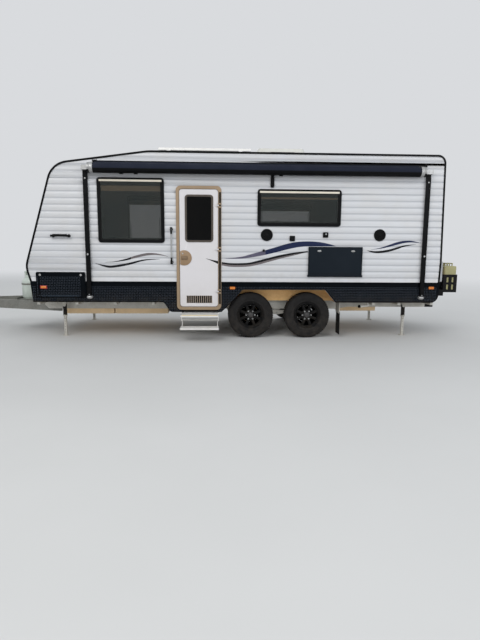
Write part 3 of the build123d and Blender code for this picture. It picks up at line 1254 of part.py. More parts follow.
def lamps():
    """Side markers and tail lamps of both sides."""
    pieces = []
    for x, z in MARKERS:
        marker = across(
            opening(grown((x, x), MARKER_SIZE[0] / 2), grown((z, z), MARKER_SIZE[1] / 2), 8.0),
            (-SKIRT_FACE - 12.0, -SKIRT_FACE),
        )
        pieces.append(marker)
    low, high = TAIL_LAMP_Z
    profile = outline([
        (rear_face_x(low), low, 0.0),
        (TAIL_LAMP_X, low, 16.0),
        (TAIL_LAMP_X, high, 16.0),
        (rear_face_x(high), high, 0.0),
    ])
    outer = -SKIRT_FACE + TRIM_RETURN + LAMP_GAP
    pieces.append(across(profile, (outer, outer + TAIL_LAMP_WIDTH)))
    return pieces


def solar_panels():
    """Framed solar panels on feet along the roof."""
    pieces = []
    panel_z = (ROOF_Z + SOLAR_LIFT, ROOF_Z + SOLAR_LIFT + SOLAR_THICKNESS)
    for x_range, y_range in SOLAR_PANELS:
        panel = block(x_range, y_range, panel_z)
        panel = panel - block(
            grown(x_range, -22.0), grown(y_range, -22.0), (panel_z[1] - 3.0, panel_z[1] + 1.0),
        )
        for x in grown(x_range, -160.0):
            for y in grown(y_range, -20.0):
                panel = panel + block(grown((x, x), 30.0), grown((y, y), 20.0), (ROOF_Z, panel_z[0]))
        pieces.append(panel)
    return pieces


def air_conditioner():
    """Roof air conditioner with a tapered cover."""
    low = Plane.XY.offset(ROOF_Z) * Pos(AIRCON_X, 0) * RectangleRounded(AIRCON_SIZE[0], AIRCON_SIZE[1], 80.0)
    high = Plane.XY.offset(ROOF_Z + AIRCON_SIZE[2]) * Pos(AIRCON_X, 0) * RectangleRounded(
        AIRCON_SIZE[0] - 200.0, AIRCON_SIZE[1] - 120.0, 60.0
    )
    return loft([low.faces()[0], high.faces()[0]], ruled=True)


HATCH_LID_Z = ROOF_Z + HATCH_CURB + 1.0
HATCH_AXIS_X = HATCH_X[0] - 14.0
HATCH_AXIS_Z = HATCH_LID_Z + 12.0
HATCH_PIN = 4.0
HATCH_BARREL = 9.0
HATCH_KNUCKLE = 40.0
HATCH_HINGE_Y = (-130.0, 130.0)


def hatch_rod(y, reach, radius):
    """Round piece on the hatch's hinge line, reaching to both sides of a station."""
    return rod((HATCH_AXIS_X, y - reach, HATCH_AXIS_Z), (HATCH_AXIS_X, y + reach, HATCH_AXIS_Z), radius)


def hatch_parts():
    """Roof hatch curb with its hinge ears, and the lid."""
    half = HATCH_WIDTH / 2
    curb = block(HATCH_X, (-half, half), (ROOF_Z, ROOF_Z + HATCH_CURB))
    curb = curb - block(
        grown(HATCH_X, -HATCH_RIM), grown((-half, half), -HATCH_RIM), (ROOF_Z - 1.0, ROOF_Z + 90.0),
    )
    lid = block(HATCH_X, (-half, half), (HATCH_LID_Z, HATCH_LID_Z + 14.0))
    crown = Pos((HATCH_X[0] + HATCH_X[1]) / 2, 0, HATCH_LID_Z + 14.0) * Box(
        HATCH_X[1] - HATCH_X[0] - 60.0, HATCH_WIDTH - 60.0, 26.0, align=FOOT
    )
    lid = lid + crown
    for y in HATCH_HINGE_Y:
        reach = HATCH_KNUCKLE / 2
        tongue = block(
            (HATCH_AXIS_X, HATCH_X[0] + 6.0), grown((y, y), reach), (HATCH_LID_Z + 6.0, HATCH_LID_Z + 14.0),
        )
        lid = lid + hatch_rod(y, reach, HATCH_BARREL) + tongue
        lid = lid - hatch_rod(y, reach + 1.0, HATCH_PIN + SEAT_GAP)
        ear_x = grown((HATCH_AXIS_X, HATCH_AXIS_X), HATCH_BARREL)
        for side in (-1, 1):
            ear_y = sorted((y + side * (reach + 1.0), y + side * (reach + 9.0)))
            curb = curb + block(ear_x, ear_y, (ROOF_Z, HATCH_AXIS_Z + HATCH_BARREL - 1.0))
            curb = curb + block((HATCH_AXIS_X, HATCH_X[0]), ear_y, (ROOF_Z, ROOF_Z + 16.0))
        curb = curb + hatch_rod(y, reach + 7.0, HATCH_PIN)
    return curb, lid


def rear_carrier():
    """Arms from the rails, crossbar, spare wheel post and fuel can holders."""
    rail_tail = BODY_BOTTOM - RAIL_REAR_DEPTH
    frame = block(CARRIER_X, (-CARRIER_HALF, CARRIER_HALF), CARRIER_Z)
    for side in (-1, 1):
        rail_y = sorted((side * RAIL_INNER, side * RAIL_OUTER))
        frame = frame + block((RAIL_REAR, CARRIER_X[0] + 54.0), rail_y, (rail_tail, rail_tail + 100.0))
        frame = frame + block((CARRIER_X[0], CARRIER_X[0] + 54.0), rail_y, (rail_tail + 100.0, CARRIER_Z[0]))
        holder_y = sorted((side * CAN_HOLDER_Y[0], side * CAN_HOLDER_Y[1]))
        holder = block(CAN_HOLDER_X, holder_y, CAN_HOLDER_Z)
        well_z = (CAN_HOLDER_Z[0] + CAN_WALL, CAN_HOLDER_Z[1] + 9.0)
        holder = holder - block(grown(CAN_HOLDER_X, -CAN_WALL), grown(holder_y, -CAN_WALL), well_z)
        middle_x = (CAN_HOLDER_X[0] + CAN_HOLDER_X[1]) / 2
        outer_wall = sorted((side * (CAN_HOLDER_Y[1] - CAN_WALL - 1.0), side * (CAN_HOLDER_Y[1] + 1.0)))
        for x in (middle_x - 42.0, middle_x + 42.0):
            for z in (CAN_HOLDER_Z[0] + 88.0, CAN_HOLDER_Z[0] + 206.0):
                holder = holder - across(opening(grown((x, x), 16.0), grown((z, z), 42.0), 8.0), outer_wall)
        frame = frame + holder
    post_x = (CARRIER_X[0], CARRIER_X[0] + 36.0)
    frame = frame + block(post_x, (-40.0, 40.0), (CARRIER_Z[1], SPARE_Z + 50.0))
    frame = frame + rod((post_x[1], 0.0, SPARE_Z), (SPARE_X + DISC_Z[0] - SEAT_GAP, 0.0, SPARE_Z), 74.0)
    return frame


def fuel_can():
    """Fuel can standing in the holder at minus Y."""
    x_range = grown(CAN_HOLDER_X, -CAN_WALL - CAN_GAP)
    y_range = grown((-CAN_HOLDER_Y[1], -CAN_HOLDER_Y[0]), -CAN_WALL - CAN_GAP)
    body_top = CAN_TOP - 52.0
    body = block(x_range, y_range, (CAN_HOLDER_Z[0] + CAN_WALL + SEAT_GAP, body_top))
    body = fillet(body.edges().filter_by(Axis.Z), 24.0)
    body = fillet(body.faces().sort_by(Axis.Z)[-1].edges(), 18.0)
    grip_y = grown(y_range, -70.0)
    middle_x = (x_range[0] + x_range[1]) / 2
    for x in (middle_x - 44.0, middle_x, middle_x + 44.0):
        bar = rod((x, grip_y[0] - 30.0, CAN_TOP - 10.0), (x, grip_y[1] - 60.0, CAN_TOP - 10.0), 9.0)
        for y in (grip_y[0] - 20.0, grip_y[1] - 70.0):
            bar = bar + rod((x, y, body_top - 4.0), (x, y, CAN_TOP - 10.0), 9.0)
        body = body + bar
    spout = rod(
        (middle_x, y_range[1] - 60.0, body_top - 4.0), (middle_x, y_range[1] - 60.0, CAN_TOP - 12.0), 26.0,
    )
    return body + spout


def waste_pipe():
    """Drain elbow below the rear floor."""
    x, y, z = WASTE_BEND
    bend = rod((x, y, z), (x, y, BODY_BOTTOM), WASTE_RADIUS) + Pos(x, y, z) * Sphere(WASTE_RADIUS)
    end = (x + WASTE_RUN[0], y + WASTE_RUN[1], z + WASTE_RUN[2])
    return bend + rod((x, y, z), end, WASTE_RADIUS)


def tanks():
    """Water tanks hung between the rails."""
    half = RAIL_INNER - SEAT_GAP
    top = BODY_BOTTOM - JOIST_DEPTH - SEAT_GAP
    return [
        fillet(block(x_range, (-half, half), (low, top)).edges().filter_by(Axis.X), 25.0)
        for x_range, low in TANKS
    ]


def bed_base(hollow):
    """Shelf and bulkhead that box in the tunnel boot."""
    bulkhead_x = (BED_BULKHEAD_X, BED_BULKHEAD_X + BED_BASE_THICKNESS)
    shelf_z = (BED_BASE_Z, BED_BASE_Z + BED_BASE_THICKNESS)
    shelf_zone = block((WHOLE_X[0], bulkhead_x[1]), WHOLE_Y, shelf_z)
    bulkhead = block(bulkhead_x, (-INNER_HALF_WIDTH, INNER_HALF_WIDTH), (FLOOR_TOP, BED_BASE_Z))
    return (hollow & shelf_zone) + bulkhead


def main():
    """Build and write every node."""
    front, roof, rear, floor, hollow = body_panels()
    save("wall_front", front)
    save("roof", roof)
    save("wall_rear", rear)
    save("floor", floor)
    save("bed_base", bed_base(hollow))
    near_face, far_face = side_face(True), side_face(False)
    core = (-CORE_HALF_WIDTH, -INNER_HALF_WIDTH)
    save("wall_left", across(near_face, core))
    save("wall_right", other_side(across(far_face, core)))
    save("wall_cladding", cladding(near_face), other_side(cladding(far_face)))
    save("edge_trims", both_sides(edge_trim()))
    save("skirts", skirt())
    save("wheel_boxes", both_sides(wheel_box()))
    frames, panes = window_parts()
    save("window_frames", both_sides(frames))
    save("window_panes", both_sides(panes))
    save("door_frame", door_frame())
    save("door_leaf", door_leaf())
    save("door_glass", door_glass())
    save("boot_frames", both_sides(boot_frame()))
    save("boot_door_left", boot_door())
    save("boot_door_right", other_side(boot_door()))
    tray, leaf = table_parts()
    save("table_tray", tray)
    save("picnic_table", leaf)

    save("rails", both_sides(rail()))
    save("joists", *joists())
    save("drawbar", drawbar() + gas_clamp())
    cylinder = gas_cylinder()
    save("gas_cylinders", Pos(0, -CYLINDER_Y, 0) * cylinder, Pos(0, CYLINDER_Y, 0) * cylinder)
    save("coupling", coupling(), handbrake())
    sleeve, stem, castor = jockey_parts()
    save("jockey_sleeve", sleeve)
    save("jockey_stem", stem)
    save("jockey_wheel", castor)
    save("water_tanks", *tanks())
    save("waste_pipe", waste_pipe())

    save("axles", *axles())
    springs = Compound(children=[leaf_spring(x) for x in WHEEL_X])
    save("leaf_springs", both_sides(springs))
    under = [*spring_hangers(), flap_bracket(), *(leg_bracket(x) for x in LEG_X.values())]
    hung = Compound(children=[solid for part in under for solid in part.solids()])
    save("underframe_brackets", both_sides(hung), *step_guides())
    save("mud_flaps", mud_flap(), other_side(mud_flap()))
    road_tyre = tyre()
    road_rim = rim(True)
    for axle_name, x in zip(("front", "rear"), WHEEL_X):
        for side_name, side in (("left", -1), ("right", 1)):
            save(f"tyre_{axle_name}_{side_name}", at_wheel(road_tyre, x, side))
            save(f"rim_{axle_name}_{side_name}", at_wheel(road_rim, x, side))
    for end_name, x in LEG_X.items():
        save(f"leg_{end_name}_left", corner_leg(x))
        save(f"leg_{end_name}_right", other_side(corner_leg(x)))
    carriage, tread = step_parts()
    save("step_carriage", carriage)
    save("step_tread", tread)

    roll, frame = awning_parts()
    save("awning_roll", roll)
    save("awning_frame", *frame)
    save("wall_fittings", *wall_fittings())
    save("lamps", both_sides(Compound(children=lamps())))
    save("solar_panels", *solar_panels())
    curb, lid = hatch_parts()
    save("roof_units", air_conditioner(), curb)
    save("hatch_lid", lid)
    save("rear_carrier", rear_carrier())
    save("fuel_cans", both_sides(fuel_can()))
    spare_place = Pos(SPARE_X, 0, SPARE_Z) * Rot(0, 90, 0)
    save("spare_tyre", spare_place * road_tyre)
    save("spare_rim", spare_place * rim(False))


main()
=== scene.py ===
"""Dress the travel caravan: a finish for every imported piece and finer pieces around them.

Lengths are metres. Points are given from the bow, across and above the ground: X rearwards, Z up, the
entrance side at minus Y. The row frame, in which every object stands, has its origin at the coupling's ball.
"""

from __future__ import annotations

import json
import logging
import math
from collections.abc import Callable, Sequence
from dataclasses import dataclass
from enum import Enum
from functools import cache

import bmesh
import bpy
from mathutils import Matrix, Vector
from mathutils.bvhtree import BVHTree

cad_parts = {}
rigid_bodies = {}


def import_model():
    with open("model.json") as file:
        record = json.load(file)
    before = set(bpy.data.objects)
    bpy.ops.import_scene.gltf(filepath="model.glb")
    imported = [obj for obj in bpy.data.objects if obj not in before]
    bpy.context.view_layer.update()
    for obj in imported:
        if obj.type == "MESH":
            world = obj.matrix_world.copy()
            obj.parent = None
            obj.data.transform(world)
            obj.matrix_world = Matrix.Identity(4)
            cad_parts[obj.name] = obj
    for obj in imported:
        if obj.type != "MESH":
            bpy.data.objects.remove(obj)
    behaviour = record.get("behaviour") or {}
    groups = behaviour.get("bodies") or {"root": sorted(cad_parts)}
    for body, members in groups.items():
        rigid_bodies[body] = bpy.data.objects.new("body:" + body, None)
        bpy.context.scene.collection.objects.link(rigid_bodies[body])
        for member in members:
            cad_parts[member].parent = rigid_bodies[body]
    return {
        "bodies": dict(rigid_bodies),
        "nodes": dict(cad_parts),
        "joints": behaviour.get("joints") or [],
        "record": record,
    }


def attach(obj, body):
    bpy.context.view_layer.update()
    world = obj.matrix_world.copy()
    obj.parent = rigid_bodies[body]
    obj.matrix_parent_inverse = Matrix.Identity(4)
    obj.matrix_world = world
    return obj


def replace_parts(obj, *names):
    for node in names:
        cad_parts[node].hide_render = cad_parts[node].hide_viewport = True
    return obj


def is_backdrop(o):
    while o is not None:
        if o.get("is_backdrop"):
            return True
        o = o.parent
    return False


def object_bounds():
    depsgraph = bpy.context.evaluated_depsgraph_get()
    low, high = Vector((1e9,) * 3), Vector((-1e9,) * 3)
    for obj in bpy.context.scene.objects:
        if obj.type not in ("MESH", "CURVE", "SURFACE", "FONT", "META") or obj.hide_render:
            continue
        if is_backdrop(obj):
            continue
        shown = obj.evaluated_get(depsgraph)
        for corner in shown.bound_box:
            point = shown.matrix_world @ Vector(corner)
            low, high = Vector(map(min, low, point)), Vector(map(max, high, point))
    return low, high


LOG = logging.getLogger("caravan")

Colour = tuple[int, int, int]
Point = tuple[float, float, float]
Span = tuple[float, float]
Outline = Sequence[Span]
Socket = bpy.types.NodeSocket
Verts = list[bmesh.types.BMVert]

GROUND = -0.47
BOW = 1.65
ORIGIN = (BOW, 0.0, GROUND)
WALL_Y = -1.2
AXLES = {"front": 3.48, "rear": 4.4}
TRACK_HALF = 1.03
TYRE_RADIUS = 0.3665
FIRST_GROOVE = 0.982
GROOVE_PITCH = 0.1
OUTWARD = (0, -1, 0)
UP = (0, 0, 1)
CENTRE = (0.0, 0.0, 0.0)
WELD = 0.00002


class Body(str, Enum):
    """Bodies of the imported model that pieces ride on."""

    CARAVAN = "caravan"
    DOOR = "door"
    TABLE = "table"
    STEP_SLIDER = "step_slider"
    STEP_LOWER = "step_lower"
    JOCKEY_ROLLER = "jockey_roller"


class Side(Enum):
    """The two sides of the caravan, by the sign of their Y."""

    LEFT = -1
    RIGHT = 1

    @property
    def label(self) -> str:
        """Name used in nodes and bodies."""
        return self.name.lower()

    @property
    def turn(self) -> Matrix:
        """Half turn that brings what is made for the left side to this one."""
        return Matrix.Rotation(math.pi, 4, "Z") if self is Side.RIGHT else Matrix()


def linear(colour: Colour) -> Point:
    """Turn a display colour, from 0 to 255, into the linear one that shaders take."""
    shares = [value / 255 for value in colour]
    return tuple(s / 12.92 if s <= 0.04045 else ((s + 0.055) / 1.055) ** 2.4 for s in shares)


class Shader:
    """Node tree of one material while it is put together."""

    PATCHES = (0.35, 0.7)
    SOFT = (0.3, 0.7)

    def __init__(self, name: str) -> None:
        """Start with a principled shader wired to the output.

        Args:
            name: Name of the material.
        """
        self.material = bpy.data.materials.new(name)
        self.material.use_nodes = True
        self.tree = self.material.node_tree
        self.surface = self.tree.nodes["Principled BSDF"]

    def node(self, kind: str, inputs: dict[str | int, object], **settings: object) -> bpy.types.Node:
        """Add a node, set its properties and feed its inputs.

        Args:
            kind: Node type without its ShaderNode prefix.
            inputs: Output socket or plain value for each input.
            settings: Properties to set on it.

        Returns:
            The node.
        """
        made = self.tree.nodes.new("ShaderNode" + kind)
        for key, value in settings.items():
            setattr(made, key, value)
        self.feed(made, inputs)
        return made

    def feed(self, node: bpy.types.Node, inputs: dict[str | int, object]) -> None:
        """Wire inputs of a node into sockets, or set their plain values.

        Args:
            node: Node to feed.
            inputs: Output socket, display colour or plain value for each input.
        """
        for key, value in inputs.items():
            target = node.inputs[key]
            if isinstance(value, Socket):
                self.tree.links.new(value, target)
            elif isinstance(value, tuple) and len(target.default_value) == 4:
                target.default_value = (*linear(value), 1.0)
            else:
                target.default_value = value

    def place(self, stretch: Point = (1.0, 1.0, 1.0)) -> Socket:
        """Object coordinates, stretched along each axis."""
        source = self.node("TexCoord", {}).outputs["Object"]
        return self.node("Mapping", {"Scale": stretch, "Vector": source}).outputs["Vector"]

    def noise(self, scale: float, detail: float = 4.0, stretch: Point = (1.0, 1.0, 1.0)) -> Socket:
        """Noise over the piece, from 0 to 1, with its patches per metre and its octaves."""
        inputs = {"Scale": scale, "Detail": detail, "Vector": self.place(stretch)}
        return self.node("TexNoise", inputs).outputs["Fac"]

    def step(self, value: object, low: float, high: float, first: float = 0.0, last: float = 1.0) -> Socket:
        """Map a value smoothly from low and high to first and last, clamped."""
        inputs = {"Value": value, "From Min": low, "From Max": high, "To Min": first, "To Max": last}
        return self.node("MapRange", inputs, interpolation_type="SMOOTHSTEP").outputs["Result"]

    def mix(self, share: object, first: object, second: object) -> Socket:
        """Blend two colours by the share of the second."""
        return self.node("Mix", {"Factor": share, 6: first, 7: second}, data_type="RGBA").outputs[2]

    def maths(self, kind: str, first: object, second: object = 0.0) -> Socket:
        """Work out one value from two by the operation of that name."""
        return self.node("Math", {0: first, 1: second}, operation=kind).outputs[0]

    def axis(self, name: str) -> Socket:
        """One of the three object coordinates."""
        return self.node("SeparateXYZ", {0: self.place()}).outputs[name]

    def bump(self, height: object, depth: float, before: Socket | None = None) -> Socket:
        """Turn a height from 0 to 1, and that many metres, into a normal, on top of one that came before."""
        inputs = {"Distance": depth, "Height": height}
        return self.node("Bump", inputs if before is None else {**inputs, "Normal": before}).outputs["Normal"]


@dataclass(frozen=True)
class Finish:
    """Painted, moulded or bare surface: two shades in patches, fine grain, and dust that settles on it."""

    name: str
    colour: Colour
    second: Colour
    roughness: float = 0.5
    spread: float = 0.08
    metallic: float = 0.0
    patches: float = 3.0
    share: float = 0.5
    grain: float = 260.0
    grain_depth: float = 0.0002
    coat: float = 0.0
    coat_roughness: float = 0.12
    specular: float = 0.5
    dust: Colour = (150, 132, 108)
    dust_share: float = 0.0
    dust_low: float = GROUND
    dust_high: float = 0.3
    dust_clouds: float = 14.0
    dust_roughness: float = 0.35

    def base(self, shader: Shader) -> Socket:
        """Colour before dust."""
        patch = shader.step(shader.noise(self.patches, 5.0), *shader.PATCHES)
        return shader.mix(shader.maths("MULTIPLY", patch, self.share), self.colour, self.second)

    def relief(self, shader: Shader) -> Socket:
        """Normal of the surface."""
        return shader.bump(shader.noise(self.grain, 2.0), self.grain_depth)

    def make(self) -> bpy.types.Material:
        """Build the material.

        Returns:
            The material.
        """
        shader = Shader(self.name)
        colour = self.base(shader)
        gloss = shader.step(shader.noise(self.patches * 2.3, 4.0), *shader.SOFT, -self.spread, self.spread)
        rough = shader.maths("ADD", gloss, self.roughness)
        if self.dust_share > 0:
            depth = shader.step(shader.axis("Z"), self.dust_low, self.dust_high, 1.0, 0.0)
            cloud = shader.step(shader.noise(self.dust_clouds, 6.0), 0.3, 0.72)
            amount = shader.maths("MULTIPLY", shader.maths("MULTIPLY", depth, cloud), self.dust_share)
            colour = shader.mix(amount, colour, self.dust)
            rough = shader.maths("ADD", rough, shader.maths("MULTIPLY", amount, self.dust_roughness))
        shader.feed(shader.surface, {
            "Base Color": colour, "Roughness": rough, "Metallic": self.metallic,
            "Specular IOR Level": self.specular, "Coat Weight": self.coat,
            "Coat Roughness": self.coat_roughness, "Normal": self.relief(shader),
        })
        return shader.material


@dataclass(frozen=True)
class CladdingFinish(Finish):
    """White ribbed cladding, with painted shade in its grooves and towards the top of each board, and
    slightly wavy between them.
    """

    groove_half: float = 0.011
    # colour and shares of the painted shade in the grooves and across each board
    groove_colour: Colour = (138, 142, 150)
    groove_share: float = 0.5
    board_share: float = 0.16

    def base(self, shader: Shader) -> Socket:
        """Panel colour with painted shade: darker in the grooves and towards the top of each board.

        Args:
            shader: Tree to add to.

        Returns:
            The colour socket.
        """
        above = shader.maths("SUBTRACT", shader.axis("Z"), FIRST_GROOVE + GROUND)
        height = shader.maths("DIVIDE", above, GROOVE_PITCH)
        away = shader.maths("PINGPONG", height, 0.5)
        half = self.groove_half / GROOVE_PITCH
        # painted shade: a darker line along each groove
        line = shader.step(away, half * 0.8, half * 1.3, self.groove_share, 0.0)
        # painted shade: each board darkens towards its top
        slope = shader.maths("MULTIPLY", shader.maths("FRACT", height), self.board_share)
        share = shader.maths("MAXIMUM", line, slope)
        return shader.mix(share, super().base(shader), self.groove_colour)

    def relief(self, shader: Shader) -> Socket:
        """Slight waviness of thin sheet."""
        return shader.bump(shader.noise(3.0, 2.0, (0.5, 1.0, 1.4)), 0.0006)


@dataclass(frozen=True)
class SpangledZinc(Finish):
    """Hot-dip galvanised steel with its crystal spangle."""

    crystal: float = 70.0

    def base(self, shader: Shader) -> Socket:
        """Spangle over the two shades.

        Args:
            shader: Tree to add to.

        Returns:
            The colour socket.
        """
        cells = shader.node("TexVoronoi", {"Scale": self.crystal, "Vector": shader.place()})
        grey = shader.node("SeparateXYZ", {0: cells.outputs["Color"]})
        patch = shader.step(shader.noise(self.patches, 5.0), *shader.PATCHES)
        share = shader.maths("MULTIPLY", shader.maths("ADD", patch, grey.outputs["X"]), self.share)
        return shader.mix(share, self.colour, self.second)


@dataclass(frozen=True)
class TintedPane(Finish):
    """Tinted acrylic or safety glass."""

    clear: float = 0.45
    refraction: float = 1.5

    def make(self) -> bpy.types.Material:
        """Build the material.

        Returns:
            The material.
        """
        shader = Shader(self.name)
        shader.feed(shader.surface, {
            "Base Color": self.base(shader), "Roughness": self.roughness, "Alpha": 1.0 - self.clear,
            "IOR": self.refraction, "Specular IOR Level": self.specular,
            "Normal": shader.bump(shader.noise(9.0, 1.0), 0.0004),
        })
        return shader.material


@dataclass(frozen=True)
class RubberFinish(Finish):
    """Tyre or flap rubber, browned by dust in its low places."""

    def relief(self, shader: Shader) -> Socket:
        """Mould grain and scuffs."""
        scuffs = shader.bump(shader.noise(38.0, 6.0), 0.0008)
        return shader.bump(shader.noise(self.grain, 3.0), self.grain_depth, scuffs)


@dataclass(frozen=True)
class WovenFinish(Finish):
    """Coated cloth with its weave showing."""

    threads: float = 900.0

    def relief(self, shader: Shader) -> Socket:
        """Crossing threads over soft folds.

        Args:
            shader: Tree to add to.

        Returns:
            The normal socket.
        """
        waves = [shader.maths("MULTIPLY", shader.axis(name), self.threads * 2) for name in "XZ"]
        threads = [shader.maths("SINE", wave) for wave in waves]
        folds = shader.bump(shader.noise(7.0, 3.0, (0.3, 1.0, 3.0)), 0.004)
        return shader.bump(shader.maths("MAXIMUM", *threads), 0.0003, folds)


@dataclass(frozen=True)
class PlyFinish(Finish):
    """Laminated board with its grain along the caravan."""

    def base(self, shader: Shader) -> Socket:
        """Long streaks of the two shades."""
        streaks = shader.step(shader.noise(26.0, 6.0, (0.05, 1.0, 1.0)), *shader.SOFT)
        return shader.mix(streaks, self.colour, self.second)


@dataclass(frozen=True)
class CellFinish(Finish):
    """Solar cells: dark squares with silver lines between them."""

    cell: float = 0.156
    gap: float = 0.004
    bus_bar: float = 0.0015
    silver: Colour = (150, 155, 160)

    def base(self, shader: Shader) -> Socket:
        """Square cells with bus bars.

        Args:
            shader: Tree to add to.

        Returns:
            The colour socket.
        """
        lines = []
        for name, size, width in (
            ("X", self.cell, self.gap), ("Y", self.cell, self.gap), ("Y", self.cell / 4, self.bus_bar),
        ):
            place = shader.maths("FRACT", shader.maths("DIVIDE", shader.axis(name), size))
            lines.append(shader.maths("LESS_THAN", place, width / size))
        share = shader.maths("MAXIMUM", shader.maths("MAXIMUM", lines[0], lines[1]), lines[2])
        return shader.mix(share, super().base(shader), self.silver)


FINISHES: dict[str, Finish] = {
    finish.name: finish
    for finish in (
        # the cladding carries painted shade in its grooves and on its boards
        CladdingFinish("cladding", (207, 208, 211), (204, 202, 200), 0.42, coat=0.15, dust_share=0.1,
                       dust_low=0.4, dust_high=0.75),
        Finish("white_panel", (208, 210, 214), (202, 203, 204), 0.4, coat=0.2, dust_share=0.1,
               dust_low=0.4, dust_high=0.9),
        Finish("door_skin", (214, 211, 213), (207, 204, 204), 0.42, coat=0.15, dust_share=0.12,
               dust_low=0.0, dust_high=0.5),
        Finish("chequer", (5, 9, 14), (9, 13, 18), 0.44, patches=6.0, specular=0.05, dust_share=0.05,
               dust_low=0.05, dust_high=0.35),
        # painted highlight: the raised bars are lighter and bluer than the sheet for the sheen they catch
        Finish("chequer_bar", (78, 86, 98), (92, 98, 108), 0.38, metallic=0.3, patches=9.0, specular=0.3),
        Finish("chequer_edge", (20, 29, 38), (27, 36, 45), 0.4, patches=6.0, specular=0.15),
        Finish("black_trim", (8, 9, 11), (13, 13, 15), 0.46, specular=0.1),
        SpangledZinc("zinc", (202, 199, 191), (176, 174, 167), 0.5, 0.1, 0.35, 5.0, 0.4, dust_share=0.16),
        # painted shade: a darker copy of the zinc for the drawbar, which stands in shade in front of the body
        SpangledZinc("aged_zinc", (134, 134, 128), (108, 107, 102), 0.56, 0.1, 0.3, 5.0, 0.45,
                     dust_share=0.16),
        # painted light: the golden tone stands for warm sunlight on the galvanised wheel boxes and their
        # seams
        SpangledZinc("arch_zinc", (250, 206, 142), (236, 190, 126), 0.52, 0.1, 0.1, 5.0, 0.5,
                     dust_share=0.06, dust_low=0.05, dust_high=0.35),
        Finish("black_paint", (13, 13, 14), (22, 21, 20), 0.52, specular=0.15, dust_share=0.2, dust_high=0.2),
        Finish("rim_black", (8, 9, 11), (15, 15, 17), 0.46, specular=0.15, dust_share=0.06),
        Finish("barrel_black", (8, 8, 9), (13, 13, 14), 0.92, specular=0.05),
        Finish("cap_grey", (58, 58, 60), (46, 46, 47), 0.46, metallic=0.3, patches=20.0, dust_share=0.1),
        Finish("nut_chrome", (186, 186, 186), (156, 155, 152), 0.26, metallic=0.9, patches=30.0),
        Finish("mill_aluminium", (232, 230, 226), (216, 214, 210), 0.46, metallic=0.2, patches=9.0,
               dust_share=0.12),
        Finish("cast_silver", (176, 176, 176), (154, 153, 150), 0.44, metallic=0.65, patches=14.0,
               grain=420.0, grain_depth=0.0006),
        Finish("bronze", (158, 136, 110), (138, 118, 94), 0.38, metallic=0.35, coat=0.1),
        Finish("window_bronze", (84, 76, 68), (70, 62, 55), 0.36, metallic=0.4, coat=0.1),
        Finish("lock_beige", (152, 126, 97), (138, 113, 86), 0.48, metallic=0.15, patches=20.0),
        # painted shade: darker beige for the paddle and its recess
        Finish("lock_shade", (128, 106, 82), (114, 94, 72), 0.5, metallic=0.15, patches=20.0),
        TintedPane("pane", (34, 40, 37), (50, 50, 43), 0.05, patches=2.2, specular=0.6, clear=0.52),
        TintedPane("door_pane", (3, 3, 3), (10, 8, 7), 0.06, specular=0.12, clear=0.05),
        Finish("black_plastic", (10, 10, 11), (16, 16, 18), 0.6, specular=0.12, grain_depth=0.0004),
        Finish("white_plastic", (212, 212, 206), (200, 198, 190), 0.48, dust_share=0.15, dust_low=2.3,
               dust_high=2.9),
        RubberFinish("tyre", (22, 21, 21), (34, 32, 31), 0.8, patches=5.0, share=0.6, specular=0.25,
                     grain_depth=0.0005, dust=(92, 84, 76), dust_share=0.22, dust_high=0.25),
        RubberFinish("rubber", (12, 12, 12), (20, 19, 18), 0.74, specular=0.2, dust=(92, 84, 76),
                     dust_share=0.15),
        WovenFinish("awning_cloth", (29, 33, 46), (38, 42, 56), 0.78, specular=0.15, patches=2.0),
        Finish("gas_paint", (196, 204, 196), (180, 190, 180), 0.38, coat=0.3, patches=7.0, dust_share=0.15,
               dust_high=0.3),
        Finish("brass", (190, 158, 92), (160, 130, 74), 0.3, metallic=1.0, patches=30.0),
        Finish("can_plastic", (158, 153, 108), (140, 136, 96), 0.46, coat=0.1, patches=6.0),
        # beige of the tank guards, made warmer and brighter as painted sunlight
        Finish("guard_beige", (238, 208, 166), (224, 192, 148), 0.58, patches=4.0, dust_share=0.18),
        Finish("pipe_white", (218, 218, 212), (204, 202, 194), 0.3, dust_share=0.12),
        Finish("lens_amber", (214, 122, 30), (190, 98, 20), 0.18, coat=0.6),
        Finish("lens_red", (150, 20, 18), (120, 12, 12), 0.18, coat=0.6),
        Finish("lamp_grey", (176, 178, 180), (158, 160, 162), 0.35, coat=0.4),
        PlyFinish("floor_board", (150, 132, 106), (118, 100, 78), 0.7),
        Finish("table_grey", (17, 25, 33), (23, 31, 39), 0.54, specular=0.12, patches=2.0),
        Finish("safety_yellow", (236, 210, 124), (220, 192, 104), 0.6, grain_depth=0.0005, dust_share=0.2),
        CellFinish("solar_cells", (18, 22, 36), (28, 34, 52), 0.14, coat=0.8),
        Finish("navy_vinyl", (17, 29, 64), (24, 38, 76), 0.38, specular=0.25),
        Finish("plum_vinyl", (80, 76, 96), (92, 88, 106), 0.34, coat=0.15),
        Finish("black_vinyl", (8, 9, 13), (14, 14, 18), 0.38, specular=0.2),
        Finish("grey_vinyl", (98, 91, 92), (114, 105, 105), 0.34, coat=0.15),
        Finish("hinge_cream", (222, 214, 198), (208, 199, 182), 0.45, coat=0.2, patches=12.0),
        Finish("blind_tan", (206, 176, 138), (188, 158, 122), 0.8, grain=500.0, grain_depth=0.0005),
    )
}


@cache
def material_of(name: str) -> bpy.types.Material:
    """Material of a finish, built once."""
    return FINISHES[name].make()


def faces_of(verts: Verts) -> list[bmesh.types.BMFace]:
    """Faces that touch some vertices."""
    return list({face for vert in verts for face in vert.link_faces})


def spot(x: float, y: float, z: float) -> Point:
    """Turn metres from the bow, across and above the ground into the row frame."""
    return (BOW + x, y, GROUND + z)


def about(middle: float, half: float) -> Span:
    """The two ends of a width about its middle."""
    return (middle - half, middle + half)


